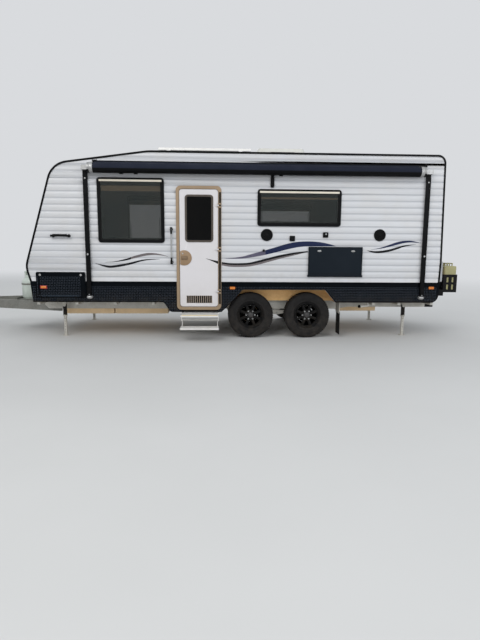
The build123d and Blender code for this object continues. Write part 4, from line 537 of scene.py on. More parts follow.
class Shape:
    """A mesh put together from bmesh operators, then turned into a piece."""

    def __init__(self, origin: Point = ORIGIN) -> None:
        """Start empty, with an origin from which points are given."""
        self.bm = bmesh.new()
        self.origin = origin

    def at(self, point: Point) -> Point:
        """Row frame place of a point."""
        return tuple(start + shift for start, shift in zip(self.origin, point))

    def added(self, before: set[bmesh.types.BMVert]) -> Verts:
        """Vertices made since a moment, given those that were there."""
        return [vert for vert in self.bm.verts if vert not in before]

    def rounded(self, verts: Verts, radius: float, segments: int = 2, angle: float = 30.0) -> None:
        """Round the sharp edges among some vertices.

        Args:
            verts: Vertices whose edges are rounded.
            radius: Width of the rounding.
            segments: Steps across it.
            angle: Edges under this many degrees stay.
        """
        edges = {edge for vert in verts for edge in vert.link_edges if len(edge.link_faces) == 2}
        sharp = [edge for edge in edges if edge.calc_face_angle(0.0) > math.radians(angle)]
        if radius > 0 and sharp:
            bmesh.ops.bevel(
                self.bm, geom=sharp, offset=radius, offset_type="OFFSET", affect="EDGES", segments=segments,
                profile=0.5, material=-1, clamp_overlap=True,
            )

    def block(self, x: Span, y: Span, z: Span, radius: float = 0.0, segments: int = 2) -> Verts:
        """Add a box.

        Args:
            x: Its ends along the caravan.
            y: Its ends across.
            z: Its underside and top.
            radius: Rounding of its edges.
            segments: Steps across the rounding.

        Returns:
            Its vertices.
        """
        before = set(self.bm.verts)
        low, high = (self.at(corner) for corner in zip(sorted(x), sorted(y), sorted(z)))
        verts = bmesh.ops.create_cube(self.bm, size=1.0)["verts"]
        bmesh.ops.scale(self.bm, vec=[b - a for a, b in zip(low, high)], verts=verts)
        bmesh.ops.translate(self.bm, vec=[(a + b) / 2 for a, b in zip(low, high)], verts=verts)
        self.rounded(verts, radius, segments)
        return self.added(before)

    def rod(
        self, start: Point, end: Point, radius: float, end_radius: float | None = None, steps: int = 24,
        rounding: float = 0.0,
    ) -> Verts:
        """Add a round bar or cone between two points.

        Args:
            start: Centre of the first end.
            end: Centre of the second end.
            radius: Radius at the start.
            end_radius: Radius at the end, or None for the same.
            steps: Sides.
            rounding: Rounding of its rims.

        Returns:
            Its vertices.
        """
        before = set(self.bm.verts)
        first, last = Vector(self.at(start)), Vector(self.at(end))
        turn = (last - first).to_track_quat("Z", "Y").to_matrix().to_4x4()
        verts = bmesh.ops.create_cone(
            self.bm, cap_ends=True, segments=steps, radius1=radius,
            radius2=radius if end_radius is None else end_radius, depth=(last - first).length,
            matrix=Matrix.Translation((first + last) / 2) @ turn,
        )["verts"]
        self.rounded(verts, rounding, 2, 60.0)
        return self.added(before)

    def turned(
        self, profile: Outline, centre: Point, axis: Point = OUTWARD, steps: int = 48, closed: bool = False,
    ) -> Verts:
        """Spin a profile about an axis through a centre.

        Args:
            profile: Rows of radius and distance along the axis.
            centre: Point on the axis at distance 0.
            axis: Direction of the axis.
            steps: Steps round.
            closed: Whether the profile closes on itself.

        Returns:
            The vertices.
        """
        before = set(self.bm.verts)
        middle, along = Vector(self.at(centre)), Vector(axis).normalized()
        out = along.orthogonal().normalized()
        verts = [self.bm.verts.new(middle + out * radius + along * shift) for radius, shift in profile]
        pairs = list(zip(verts, verts[1:])) + ([(verts[-1], verts[0])] if closed else [])
        edges = [self.bm.edges.new(pair) for pair in pairs]
        bmesh.ops.spin(
            self.bm, geom=[*verts, *edges], cent=middle, axis=along, dvec=(0, 0, 0), angle=math.tau,
            steps=steps, use_merge=True, use_duplicate=False,
        )
        bmesh.ops.remove_doubles(self.bm, verts=self.added(before), dist=WELD)
        made = self.added(before)
        bmesh.ops.recalc_face_normals(self.bm, faces=faces_of(made))
        return made

    def plate(self, rim: Sequence[Point], push: Point, radius: float = 0.0) -> Verts:
        """Add a flat plate from its rim and a push.

        Args:
            rim: Corner points round one face.
            push: Vector from that face to the other.
            radius: Rounding of its edges.

        Returns:
            Its vertices.
        """
        before = set(self.bm.verts)
        face = self.bm.faces.new([self.bm.verts.new(self.at(point)) for point in rim])
        side = bmesh.ops.extrude_face_region(self.bm, geom=[face], use_keep_orig=True)["geom"]
        moved = [item for item in side if isinstance(item, bmesh.types.BMVert)]
        bmesh.ops.translate(self.bm, vec=push, verts=moved)
        made = self.added(before)
        bmesh.ops.recalc_face_normals(self.bm, faces=faces_of(made))
        self.rounded(made, radius)
        return self.added(before)

    def tube(self, path: Sequence[Point], radius: float, steps: int = 12) -> Verts:
        """Add a round tube along a path, closed at both ends.

        Args:
            path: Points along its middle.
            radius: Radius of the tube.
            steps: Sides.

        Returns:
            Its vertices.
        """
        before = set(self.bm.verts)
        points = [Vector(self.at(point)) for point in path]
        rings = []
        for index, point in enumerate(points):
            line = points[min(index + 1, len(points) - 1)] - points[max(index - 1, 0)]
            turn = line.to_track_quat("Z", "Y").to_matrix().to_4x4()
            made = bmesh.ops.create_circle(
                self.bm, cap_ends=False, segments=steps, radius=radius,
                matrix=Matrix.Translation(point) @ turn,
            )["verts"]
            rings.append(list({edge for vert in made for edge in vert.link_edges}))
        for first, second in zip(rings, rings[1:]):
            bmesh.ops.bridge_loops(self.bm, edges=[*first, *second])
        for ring in (rings[0], rings[-1]):
            bmesh.ops.edgeloop_fill(self.bm, edges=ring)
        made = self.added(before)
        bmesh.ops.recalc_face_normals(self.bm, faces=faces_of(made))
        return made

    def ring(self, x: Span, z: Span, inset: float, width: float, y: Span, corner: float) -> None:
        """Add a rounded rectangular ring in the side view.

        Args:
            x: Stations of the outline.
            z: Heights of the outline.
            inset: Distance of the ring's outer edge inside the outline.
            width: Width of the ring.
            y: Its two faces.
            corner: Radius of its outer corners.
        """
        before = set(self.bm.verts)
        outer, inner = (inset, corner), (inset + width, max(corner - width, 0.004))
        loops = []
        for face, (shift, radius) in ((y[0], outer), (y[0], inner), (y[1], inner), (y[1], outer)):
            far = shift + radius
            fore, aft, low, high = x[0] + far, x[1] - far, z[0] + far, z[1] - far
            middles = ((aft, high), (fore, high), (fore, low), (aft, low))
            loops.append([
                self.bm.verts.new(self.at((
                    across + radius * math.cos(math.radians(90 * index + angle)), face,
                    up + radius * math.sin(math.radians(90 * index + angle)),
                )))
                for index, (across, up) in enumerate(middles) for angle in range(0, 91, 15)
            ])
        for first, second in zip(loops, [*loops[1:], loops[0]]):
            for index in range(len(first)):
                after = (index + 1) % len(first)
                self.bm.faces.new((first[index], first[after], second[after], second[index]))
        made = self.added(before)
        bmesh.ops.recalc_face_normals(self.bm, faces=faces_of(made))
        self.rounded(made, min(0.001, width / 6), 1, 60.0)

    def squeeze(self, verts: Verts, centre: Point, factor: Point) -> None:
        """Scale some vertices about a centre."""
        space = Matrix.Translation(self.at(centre)).inverted()
        bmesh.ops.scale(self.bm, vec=factor, space=space, verts=verts)

    def tilt(self, verts: Verts, centre: Point, degrees: float, axis: str) -> None:
        """Turn some vertices about a centre."""
        turn = Matrix.Rotation(math.radians(degrees), 3, axis)
        bmesh.ops.rotate(self.bm, cent=self.at(centre), matrix=turn, verts=verts)

    def ring_of(self, verts: Verts, centre: Point, axis: Point, count: int) -> None:
        """Repeat some vertices evenly round an axis.

        Args:
            verts: Vertices of the first copy.
            centre: Point on the axis.
            axis: Direction of the axis.
            count: Copies in all.
        """
        bmesh.ops.spin(
            self.bm, geom=[*verts, *faces_of(verts)], cent=self.at(centre), axis=axis, dvec=(0, 0, 0),
            angle=math.tau * (count - 1) / count, steps=count - 1, use_merge=False, use_duplicate=True,
        )

    def row(self, verts: Verts, pitch: Point, count: int) -> Verts:
        """Repeat some vertices with their faces in a straight row.

        Args:
            verts: Vertices of the first copy.
            pitch: Step from one copy to the next.
            count: Copies in all.

        Returns:
            Vertices of the whole row.
        """
        before = set(self.bm.verts)
        bmesh.ops.spin(
            self.bm, geom=[*verts, *faces_of(verts)], cent=(0, 0, 0), axis=UP, dvec=pitch, angle=0.0,
            steps=count - 1, use_merge=False, use_duplicate=True,
        )
        return [*verts, *self.added(before)]

    def islands(self) -> list[Verts]:
        """Vertices of each separate part.

        Returns:
            One list for each part.
        """
        left, found = set(self.bm.verts), []
        while left:
            part, edge = set(), [left.pop()]
            while edge:
                vert = edge.pop()
                part.add(vert)
                others = (other for link in vert.link_edges for other in link.verts)
                edge.extend(other for other in others if other not in part and other in left)
                left.difference_update(edge)
            found.append(list(part))
        return found

    def paste(self, other: Shape, turn: Matrix) -> Shape:
        """Add another shape, moved and turned.

        Args:
            other: Shape to copy.
            turn: Where it goes.

        Returns:
            This shape.
        """
        before = set(self.bm.verts)
        mesh = bpy.data.meshes.new("paste")
        other.bm.to_mesh(mesh)
        self.bm.from_mesh(mesh)
        bpy.data.meshes.remove(mesh)
        bmesh.ops.transform(self.bm, matrix=turn, verts=self.added(before))
        return self

    def flipped(self) -> None:
        """Bring the whole shape to the far side of the centre plane."""
        bmesh.ops.scale(self.bm, vec=(1, -1, 1), verts=list(self.bm.verts))
        bmesh.ops.reverse_faces(self.bm, faces=list(self.bm.faces))

    def mirrored(self, verts: Verts | None = None) -> None:
        """Add the copy of some vertices on the far side of the centre plane.

        Args:
            verts: The vertices, or None for all.
        """
        near = verts or list(self.bm.verts)
        made = bmesh.ops.duplicate(self.bm, geom=[*near, *faces_of(near)])["geom"]
        copies = [item for item in made if isinstance(item, bmesh.types.BMVert)]
        bmesh.ops.scale(self.bm, vec=(1, -1, 1), verts=copies)
        bmesh.ops.reverse_faces(self.bm, faces=faces_of(copies))

    def piece(
        self, name: str, finish: str, slot: str, body: str = Body.CARAVAN, smooth: float = 32.0,
    ) -> bpy.types.Object:
        """Finish the shape as a piece of the caravan.

        Args:
            name: Name of the piece.
            finish: Name of its finish.
            slot: Material slot of the record; not used.
            body: Body that it rides on.
            smooth: Edges under this many degrees are shaded smooth.

        Returns:
            The object.
        """
        mesh = bpy.data.meshes.new(name)
        self.bm.to_mesh(mesh)
        self.bm.free()
        mesh.shade_smooth()
        mesh.set_sharp_from_angle(angle=math.radians(smooth))
        mesh.materials.append(material_of(finish))
        made = bpy.data.objects.new(name, mesh)
        bpy.context.scene.collection.objects.link(made)
        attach(made, body)
        LOG.info("%s: %d faces, rides on %s", name, len(mesh.polygons), body)
        return made


def tint(piece: bpy.types.Object, finish: str, chosen: Callable[[Vector, Vector], bool]) -> None:
    """Give the faces of a piece that pass a test a further finish.

    Args:
        piece: The piece.
        finish: Name of the finish.
        chosen: Test of a face by its middle and its normal, in the row frame.
    """
    mesh = piece.data
    mesh.materials.append(material_of(finish))
    for face in mesh.polygons:
        if chosen(face.center, face.normal):
            face.material_index = len(mesh.materials) - 1


class Model:
    """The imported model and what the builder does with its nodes."""

    FLAT = math.radians(0.3)
    SHARP = math.radians(35.0)

    def __init__(self) -> None:
        """Load the frame and look up where each node rides."""
        self.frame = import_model()
        self.cad_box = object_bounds()
        self.slots = {row["node"]: row["material_slot"] for row in self.frame["record"]["subparts"]}
        groups = self.frame["record"]["behaviour"]["bodies"]
        self.rides = {node: body for body, nodes in groups.items() for node in nodes}

    def paint(self, node: str, finish: str) -> bpy.types.Object:
        """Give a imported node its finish.

        Args:
            node: Name of the node.
            finish: Name of the finish.

        Returns:
            The node's object.
        """
        made = self.frame["nodes"][node]
        made.data.materials.clear()
        made.data.materials.append(material_of(finish))
        return made

    def shape_of(self, node: str) -> Shape:
        """Merged copy of a node's mesh.

        Args:
            node: Name of the node.

        Returns:
            The shape.
        """
        shape = Shape()
        shape.bm.from_mesh(self.frame["nodes"][node].data)
        bmesh.ops.remove_doubles(shape.bm, verts=list(shape.bm.verts), dist=WELD)
        bmesh.ops.dissolve_limit(
            shape.bm, angle_limit=self.FLAT, use_dissolve_boundaries=False, verts=list(shape.bm.verts),
            edges=list(shape.bm.edges), delimit=set(),
        )
        return shape

    def refine(self, node: str, finish: str, radius: float = 0.0, segments: int = 1) -> bpy.types.Object:
        """Replace a node by its copy with rounded edges and smooth curves.

        Args:
            node: Name of the node.
            finish: Name of the finish.
            radius: Rounding of its sharp edges.
            segments: Steps across the rounding.

        Returns:
            The piece.
        """
        made = self.shape_of(node).piece(f"{node}_shell", finish, self.slots[node], self.rides[node])
        if radius > 0:
            bevel = made.modifiers.new("edges", "BEVEL")
            bevel.width = radius
            bevel.segments = segments
            bevel.limit_method = "ANGLE"
            bevel.angle_limit = self.SHARP
            bevel.use_clamp_overlap = False
            bevel.harden_normals = False
        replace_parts(made, node)
        return made

    def surface(self, node: str) -> BVHTree:
        """Search tree of a node's mesh.

        Args:
            node: Name of the node.

        Returns:
            The tree.
        """
        mesh = self.frame["nodes"][node].data
        points = [vert.co.copy() for vert in mesh.vertices]
        return BVHTree.FromPolygons(points, [tuple(face.vertices) for face in mesh.polygons])


@dataclass
class Assembly:
    """Sub-assembly of the caravan, which holds its own sizes and builds its pieces."""

    model: Model

    def dress(self, *rows: tuple[str | float, ...]) -> None:
        """Refine several nodes, each by its name, finish, rounding and steps across the rounding."""
        for row in rows:
            self.model.refine(*row)


@dataclass
class Studio:
    """Pale floor, soft lamps and the camera at the photograph's angle, all in the row frame."""

    camera_place: Point = (4.62, -8.81, 0.967)
    lens: float = 27.0
    sensor: float = 36.0
    far_clip: float = 400.0
    pitch_down: float = 8.483
    yaw_right: float = 2.526
    roll: float = 0.403
    floor_radius: float = 160.0
    floor_middle: float = 4.0
    floor_colour: Colour = (200, 200, 199)
    floor_second: Colour = (197, 197, 196)
    fade: Span = (6.0, 24.0)
    sky_colour: Colour = (217, 219, 222)
    sky_tint: tuple[float, ...] = (0.92, 0.96, 1.0, 1.0)
    sky_light: float = 0.72
    aim: Point = (4.6, 0.0, 0.9)
    lamps: tuple[tuple[str, Point, float, float, Point], ...] = (
        # name, place, side of its square, watts, colour of the light
        ("key", (0.5, -11.0, 8.5), 7.0, 620.0, (1.0, 0.985, 0.96)),
        ("fill", (11.5, -9.0, 4.5), 6.0, 240.0, (0.95, 0.97, 1.0)),
        ("back", (5.0, 10.0, 8.0), 8.0, 420.0, (1.0, 1.0, 1.0)),
    )

    def camera(self) -> None:
        """Make the camera."""
        data = bpy.data.cameras.new("camera")
        data.lens = self.lens
        data.sensor_width = self.sensor
        data.clip_end = self.far_clip
        made = bpy.data.objects.new("camera", data)
        turn = (
            Matrix.Rotation(-math.radians(self.yaw_right), 4, "Z")
            @ Matrix.Rotation(math.radians(90.0 - self.pitch_down), 4, "X")
            @ Matrix.Rotation(math.radians(self.roll), 4, "Z")
        )
        made.matrix_world = Matrix.Translation(self.camera_place) @ turn
        bpy.context.scene.collection.objects.link(made)
        bpy.context.scene.camera = made

    def floor(self) -> None:
        """Make the floor, which turns into the sky's colour far out."""
        shape = Shape()
        bmesh.ops.create_circle(shape.bm, cap_ends=True, radius=self.floor_radius, segments=96)
        bmesh.ops.translate(shape.bm, vec=(self.floor_middle, 0.0, GROUND), verts=list(shape.bm.verts))
        mesh = bpy.data.meshes.new("floor_stage")
        shape.bm.to_mesh(mesh)
        shape.bm.free()
        shader = Shader("floor_paper")
        patch = shader.step(shader.noise(0.6, 3.0), *shader.SOFT)
        paper = shader.mix(patch, self.floor_colour, self.floor_second)
        shader.feed(shader.surface, {"Base Color": paper, "Roughness": 0.9})
        far = shader.node("Emission", {"Color": self.sky_colour})
        out = shader.node("VectorMath", {0: shader.place()}, operation="LENGTH")
        share = shader.step(out.outputs["Value"], *self.fade)
        blend = shader.node("MixShader", {0: share, 1: shader.surface.outputs[0], 2: far.outputs[0]})
        shader.feed(shader.tree.nodes["Material Output"], {"Surface": blend.outputs[0]})
        mesh.materials.append(shader.material)
        made = bpy.data.objects.new("floor_stage", mesh)
        bpy.context.scene.collection.objects.link(made)
        made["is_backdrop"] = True

    def lamp(self, name: str, place: Point, size: float, power: float, warmth: Point) -> None:
        """Make one soft lamp that points at the caravan.

        Args:
            name: Name of the lamp.
            place: Where it hangs.
            size: Side of its square.
            power: Watts.
            warmth: Colour of the light.
        """
        data = bpy.data.lights.new(name, "AREA")
        data.size = size
        data.energy = power
        data.color = warmth
        made = bpy.data.objects.new(name, data)
        made.location = place
        made.rotation_mode = "QUATERNION"
        made.rotation_quaternion = (Vector(self.aim) - Vector(place)).to_track_quat("-Z", "Y")
        bpy.context.scene.collection.objects.link(made)

    def sky(self) -> None:
        """Plain pale surroundings, pale to the eye, softer as light."""
        world = bpy.data.worlds.new("sky")
        world.use_nodes = True
        bpy.context.scene.world = world
        tree = world.node_tree
        light = tree.nodes["Background"]
        light.inputs["Color"].default_value = self.sky_tint
        light.inputs["Strength"].default_value = self.sky_light
        shown = tree.nodes.new("ShaderNodeBackground")
        shown.inputs["Color"].default_value = (*linear(self.sky_colour), 1.0)
        path = tree.nodes.new("ShaderNodeLightPath")
        mix = tree.nodes.new("ShaderNodeMixShader")
        for index, source in enumerate((path.outputs["Is Camera Ray"], light.outputs[0], shown.outputs[0])):
            tree.links.new(source, mix.inputs[index])
        tree.links.new(mix.outputs[0], tree.nodes["World Output"].inputs["Surface"])

    def build(self) -> None:
        """Make the whole studio."""
        bpy.context.scene.view_settings.view_transform = "Standard"
        self.camera()
        self.floor()
        self.sky()
        for row in self.lamps:
            self.lamp(*row)


@dataclass
class BodyShell(Assembly):
    """Walls, roof, trims and what lines them."""

    strip_width: float = 0.024
    strip_proud: float = 0.0022
    strip_margin: float = 0.04
    strips: tuple[tuple[float, float, float], ...] = ((0.76, 2.7385, 0.136), (6.1, 2.892, 0.0))
    seam_y: Span = (-0.894, -0.888)

    def joints(self) -> None:
        """Cover strips over the roof's joints, each by its station, height and slope."""
        shape = Shape()
        half = abs(WALL_Y) - self.strip_margin
        for x, z, slope in self.strips:
            verts = shape.block(
                about(x, self.strip_width / 2), (-half, half), (z - 0.003, z + self.strip_proud), 0.001, 1,
            )
            shape.tilt(verts, (x, 0.0, z), -math.degrees(slope), "Y")
        shape.piece("roof_joint_strips", "mill_aluminium", "body_white")

    def arch_seams(self) -> None:
        """Folded seams along the back of each wheel box."""
        shape = Shape()
        shape.block((3.06, 4.84), self.seam_y, (0.64, 0.652), 0.002)
        shape.block((3.96, 3.975), (self.seam_y[0] - 0.002, self.seam_y[1]), (0.59, 0.8), 0.002)
        shape.mirrored()
        # the seams take the zinc with painted warm sunlight
        shape.piece("arch_seams", "arch_zinc", "galvanised")

    def build(self) -> None:
        """Dress the shell."""
        self.dress(
            ("wall_cladding", "cladding"), ("wall_front", "white_panel"), ("roof", "white_panel"),
            ("wall_rear", "white_panel"), ("edge_trims", "black_trim", 0.0008),
        )
        # the wheel boxes take the zinc with painted warm sunlight
        for node, finish in (
            ("wall_left", "white_panel"), ("wall_right", "white_panel"), ("floor", "floor_board"),
            ("bed_base", "floor_board"), ("wheel_boxes", "arch_zinc"),
        ):
            self.model.paint(node, finish)
        self.joints()
        self.arch_seams()


@dataclass
class TreadPlate(Assembly):
    """Black tread plate: raised bars in alternating slants over a flat sheet, the bars lighter and bluer than
    the sheet as a painted highlight.
    """

    pitch: float = 0.026
    half_length: float = 0.0125
    half_width: float = 0.0034
    height: float = 0.0014
    stand_off: float = 0.004
    search: float = 0.03
    side_x: Span = (0.05, 6.5)
    end_x: Span = (-0.034, 6.53)
    end_y: Span = (-1.18, 1.18)
    skirt_z: Span = (0.435, 0.886)
    door_x: Span = (0.15, 0.87)
    door_z: Span = (0.69, 1.04)
    door_face: float = 1.226
    field_x: Span = (0.168, 0.847)
    field_z: Span = (0.702, 1.018)

    def field(self, x: Span, z: Span) -> Shape:
        """Bars over a rectangle, standing on the plane of the row frame's X and Z, rising towards minus Y.

        Args:
            x: Ends along X.
            z: Ends along Z.

        Returns:
            The bars.
        """
        shape = Shape()
        cell = []
        for column, line, slant in ((0, 0, 45), (1, 0, -45), (0, 1, -45), (1, 1, 45)):
            cell += bmesh.ops.create_cone(
                shape.bm, cap_ends=True, segments=4, radius1=1.0, radius2=0.6, depth=1.0,
                matrix=Matrix.Translation((x[0] + column * self.pitch, 0.0, z[0] + line * self.pitch))
                @ Matrix.Rotation(math.radians(slant), 4, "Y")
                @ Matrix.Diagonal((self.half_length, self.height, self.half_width, 1.0))
                @ Matrix.Rotation(math.radians(90), 4, "X") @ Matrix.Translation((0.0, 0.0, 0.5)),
            )["verts"]
        bases = [face for face in shape.bm.faces if all(abs(vert.co.y) < 1e-6 for vert in face.verts)]
        bmesh.ops.delete(shape.bm, geom=bases, context="FACES_ONLY")
        step = 2 * self.pitch
        line = shape.row(cell, (step, 0, 0), max(2, int((x[1] - x[0]) / step)))
        shape.row(line, (0, 0, step), max(2, int((z[1] - z[0]) / step)))
        return shape

    def cover(self, shape: Shape, surface: BVHTree, turn: Matrix, depth: float) -> None:
        """Keep the bars that lie whole on a sheet, and lay them on it.

        Args:
            shape: Bars from the field.
            surface: The sheet.
            turn: From the field's frame to the row frame.
            depth: How far behind the field's plane the sheet may lie.
        """
        bmesh.ops.transform(shape.bm, matrix=turn, verts=list(shape.bm.verts))
        inward = (turn.to_3x3() @ Vector((0, 1, 0))).normalized()

        def reach(point: Vector, beyond: float) -> float | None:
            """Distance from a point inward to the sheet, or None where there is none."""
            distance = surface.ray_cast(point - inward * self.search, inward, self.search + beyond)[3]
            return None if distance is None else distance - self.search

        gone = []
        for part in shape.islands():
            reaches = [reach(vert.co, depth + self.height) for vert in part]
            middle = sum((vert.co for vert in part), Vector()) / len(part)
            if None in reaches or max(reaches) - min(reaches) > self.height + 0.003:
                gone.extend(part)
                continue
            base = max((vert.co - middle).dot(inward) for vert in part)
            found = reach(middle, depth + 0.01)
            shift = 0.0 if found is None else found - base
            for vert in part:
                vert.co += inward * shift
        bmesh.ops.delete(shape.bm, geom=gone, context="VERTS")

    def build(self) -> None:
        """Cover the skirts and both boot doors, and leave the doors' rims plain and a shade lighter."""
        self.model.refine("skirts", "chequer")
        sheet = self.model.surface("skirts")
        whole = Shape()
        skirt_z = (GROUND + self.skirt_z[0], GROUND + self.skirt_z[1])
        side_x = (BOW + self.side_x[0], BOW + self.side_x[1])
        for place, degrees, along in (
            ((0, WALL_Y - self.stand_off, 0), 0, side_x),
            ((0, -WALL_Y + self.stand_off, 0), 180, (-side_x[1], -side_x[0])),
            ((BOW + self.end_x[0], 0, 0), -90, self.end_y), ((BOW + self.end_x[1], 0, 0), 90, self.end_y),
        ):
            part = self.field(along, skirt_z)
            turn = Matrix.Translation(place) @ Matrix.Rotation(math.radians(degrees), 4, "Z")
            self.cover(part, sheet, turn, 0.06)
            whole.paste(part, Matrix())
        whole.piece("skirt_tread_bars", "chequer_bar", "chequer_black", smooth=20.0)
        low, high = (spot(x, 0.0, z) for x, z in zip(self.field_x, self.field_z))
        for side in Side:
            node = f"boot_door_{side.label}"
            tint(self.model.refine(node, "chequer", 0.001), "chequer_edge", lambda middle, _: not (
                low[0] < middle.x < high[0] and low[2] < middle.z < high[2]
            ))
            ends = sorted(-side.value * (BOW + x) for x in self.door_x)
            part = self.field(ends, (GROUND + self.door_z[0], GROUND + self.door_z[1]))
            turn = Matrix.Translation((0, side.value * self.door_face, 0)) @ side.turn
            self.cover(part, self.model.surface(node), turn, 0.012)
            body = f"boot_{side.label}"
            part.piece(f"boot_tread_bars_{side.label}", "chequer_bar", "chequer_black", body, 20.0)


@dataclass(frozen=True)
class Strand:
    """One tapering band of the waves along the side: rows of station, height and width."""

    name: str
    finish: str
    rows: tuple[Point, ...]
    on_door: bool = False


STRANDS = (
    Strand("wave_fore_upper", "black_vinyl", (
        (1.19, 1.208, 0.002), (1.35, 1.22, 0.01), (1.52, 1.252, 0.026), (1.6, 1.276, 0.032))),
    Strand("wave_fore_upper_grey", "grey_vinyl", (
        (1.6, 1.276, 0.032), (1.68, 1.299, 0.038), (1.83, 1.334, 0.038), (1.96, 1.341, 0.028),
        (2.08, 1.326, 0.014), (2.18, 1.302, 0.002))),
    Strand("wave_fore_lower", "black_vinyl", (
        (1.04, 1.193, 0.002), (1.19, 1.152, 0.03), (1.31, 1.143, 0.036), (1.55, 1.183, 0.034),
        (1.8, 1.246, 0.021), (2.05, 1.264, 0.002))),
    Strand("wave_door", "black_vinyl", (
        (2.76, 1.278, 0.002), (2.86, 1.246, 0.02), (2.952, 1.216, 0.044)), True),
    Strand("wave_main_black", "black_vinyl", (
        (3.012, 1.21, 0.024), (3.17, 1.192, 0.028), (3.42, 1.198, 0.03), (3.59, 1.234, 0.034),
        (3.76, 1.278, 0.034), (3.95, 1.325, 0.034), (4.16, 1.364, 0.03), (4.37, 1.394, 0.02))),
    Strand("wave_main_grey", "grey_vinyl", (
        (3.012, 1.184, 0.028), (3.17, 1.163, 0.03), (3.42, 1.168, 0.03), (3.59, 1.201, 0.032),
        (3.76, 1.246, 0.03), (3.95, 1.296, 0.024), (4.16, 1.341, 0.014), (4.3, 1.372, 0.002))),
    Strand("wave_main_plum", "plum_vinyl", (
        (3.05, 1.274, 0.002), (3.31, 1.292, 0.028), (3.45, 1.318, 0.048), (3.59, 1.35, 0.064),
        (3.7, 1.376, 0.072))),
    Strand("wave_main_navy", "navy_vinyl", (
        (3.7, 1.376, 0.072), (3.87, 1.421, 0.082), (4.01, 1.462, 0.088), (4.15, 1.494, 0.088),
        (4.29, 1.512, 0.08), (4.44, 1.515, 0.076), (4.58, 1.509, 0.062), (4.72, 1.496, 0.032),
        (4.82, 1.482, 0.002))),
    Strand("wave_aft_upper", "navy_vinyl", (
        (5.38, 1.432, 0.002), (5.53, 1.455, 0.014), (5.66, 1.49, 0.031), (5.8, 1.533, 0.042),
        (5.91, 1.556, 0.036), (6.03, 1.562, 0.026), (6.185, 1.54, 0.004))),
    Strand("wave_aft_lower", "black_vinyl", (
        (5.31, 1.42, 0.002), (5.37, 1.405, 0.02), (5.46, 1.393, 0.031), (5.57, 1.4, 0.037),
        (5.69, 1.423, 0.037), (5.8, 1.457, 0.034), (5.91, 1.49, 0.024), (6.1, 1.52, 0.002))),
)


@dataclass
class Waves(Assembly):
    """Vinyl bands that follow the ribs of the cladding."""

    lift: float = 0.0005
    steps: int = 10
    grooves: int = 6
    groove_mouth: float = 0.034
    groove_floor: float = 0.024
    groove_depth: float = 0.0028
    least_width: float = 0.0015
    door_face: float = -1.21

    def smooth(self, rows: tuple[Point, ...]) -> list[Vector]:
        """Curve through the rows of a band.

        Args:
            rows: Station, height and width along the band.

        Returns:
            Station, height and width at each point.
        """
        points = [Vector(row) for row in rows]
        ends = [2 * points[0] - points[1], *points, 2 * points[-1] - points[-2]]
        out = []
        for a, b, c, d in zip(ends, ends[1:], ends[2:], ends[3:]):
            square, cube = 2 * a - 5 * b + 4 * c - d, 3 * b - a - 3 * c + d
            for index in range(self.steps):
                t = index / self.steps
                out.append(0.5 * (2 * b + (c - a) * t + square * t**2 + cube * t**3))
        return [*out, points[-1]]

    def sunk(self, height: float) -> float:
        """Depth of the cladding below the flat of its ribs.

        Args:
            height: Metres above the ground.

        Returns:
            The depth.
        """
        place = (height - FIRST_GROOVE + GROOVE_PITCH / 2) % GROOVE_PITCH - GROOVE_PITCH / 2
        slope = (self.groove_mouth / 2 - abs(place)) / ((self.groove_mouth - self.groove_floor) / 2)
        return self.groove_depth * min(1.0, max(0.0, slope))

    def band(self, strand: Strand) -> None:
        """Build one band.

        Args:
            strand: The band.
        """
        shape = Shape()
        line = self.smooth(strand.rows)
        edges = [
            [
                shape.bm.verts.new(shape.at((x, WALL_Y, z + way * max(width, self.least_width) / 2)))
                for x, z, width in line
            ] for way in (1, -1)
        ]
        for index in range(len(line) - 1):
            shape.bm.faces.new((edges[0][index], edges[1][index], edges[1][index + 1], edges[0][index + 1]))
        if not strand.on_door:
            for number in range(1, self.grooves + 1):
                for half in (self.groove_mouth / 2, self.groove_floor / 2):
                    for height in about(GROUND + FIRST_GROOVE + number * GROOVE_PITCH, half):
                        geom = [*shape.bm.verts, *shape.bm.edges, *shape.bm.faces]
                        bmesh.ops.bisect_plane(
                            shape.bm, geom=geom, dist=1e-6, plane_co=(0, 0, height), plane_no=UP,
                        )
        for vert in shape.bm.verts:
            face = self.door_face if strand.on_door else WALL_Y + self.sunk(vert.co.z - GROUND)
            vert.co.y = face - self.lift
        slot, body = ("door_white", Body.DOOR) if strand.on_door else ("body_white", Body.CARAVAN)
        shape.piece(strand.name, strand.finish, slot, body, 10.0)

    def build(self) -> None:
        """Build every band."""
        for strand in STRANDS:
            self.band(strand)


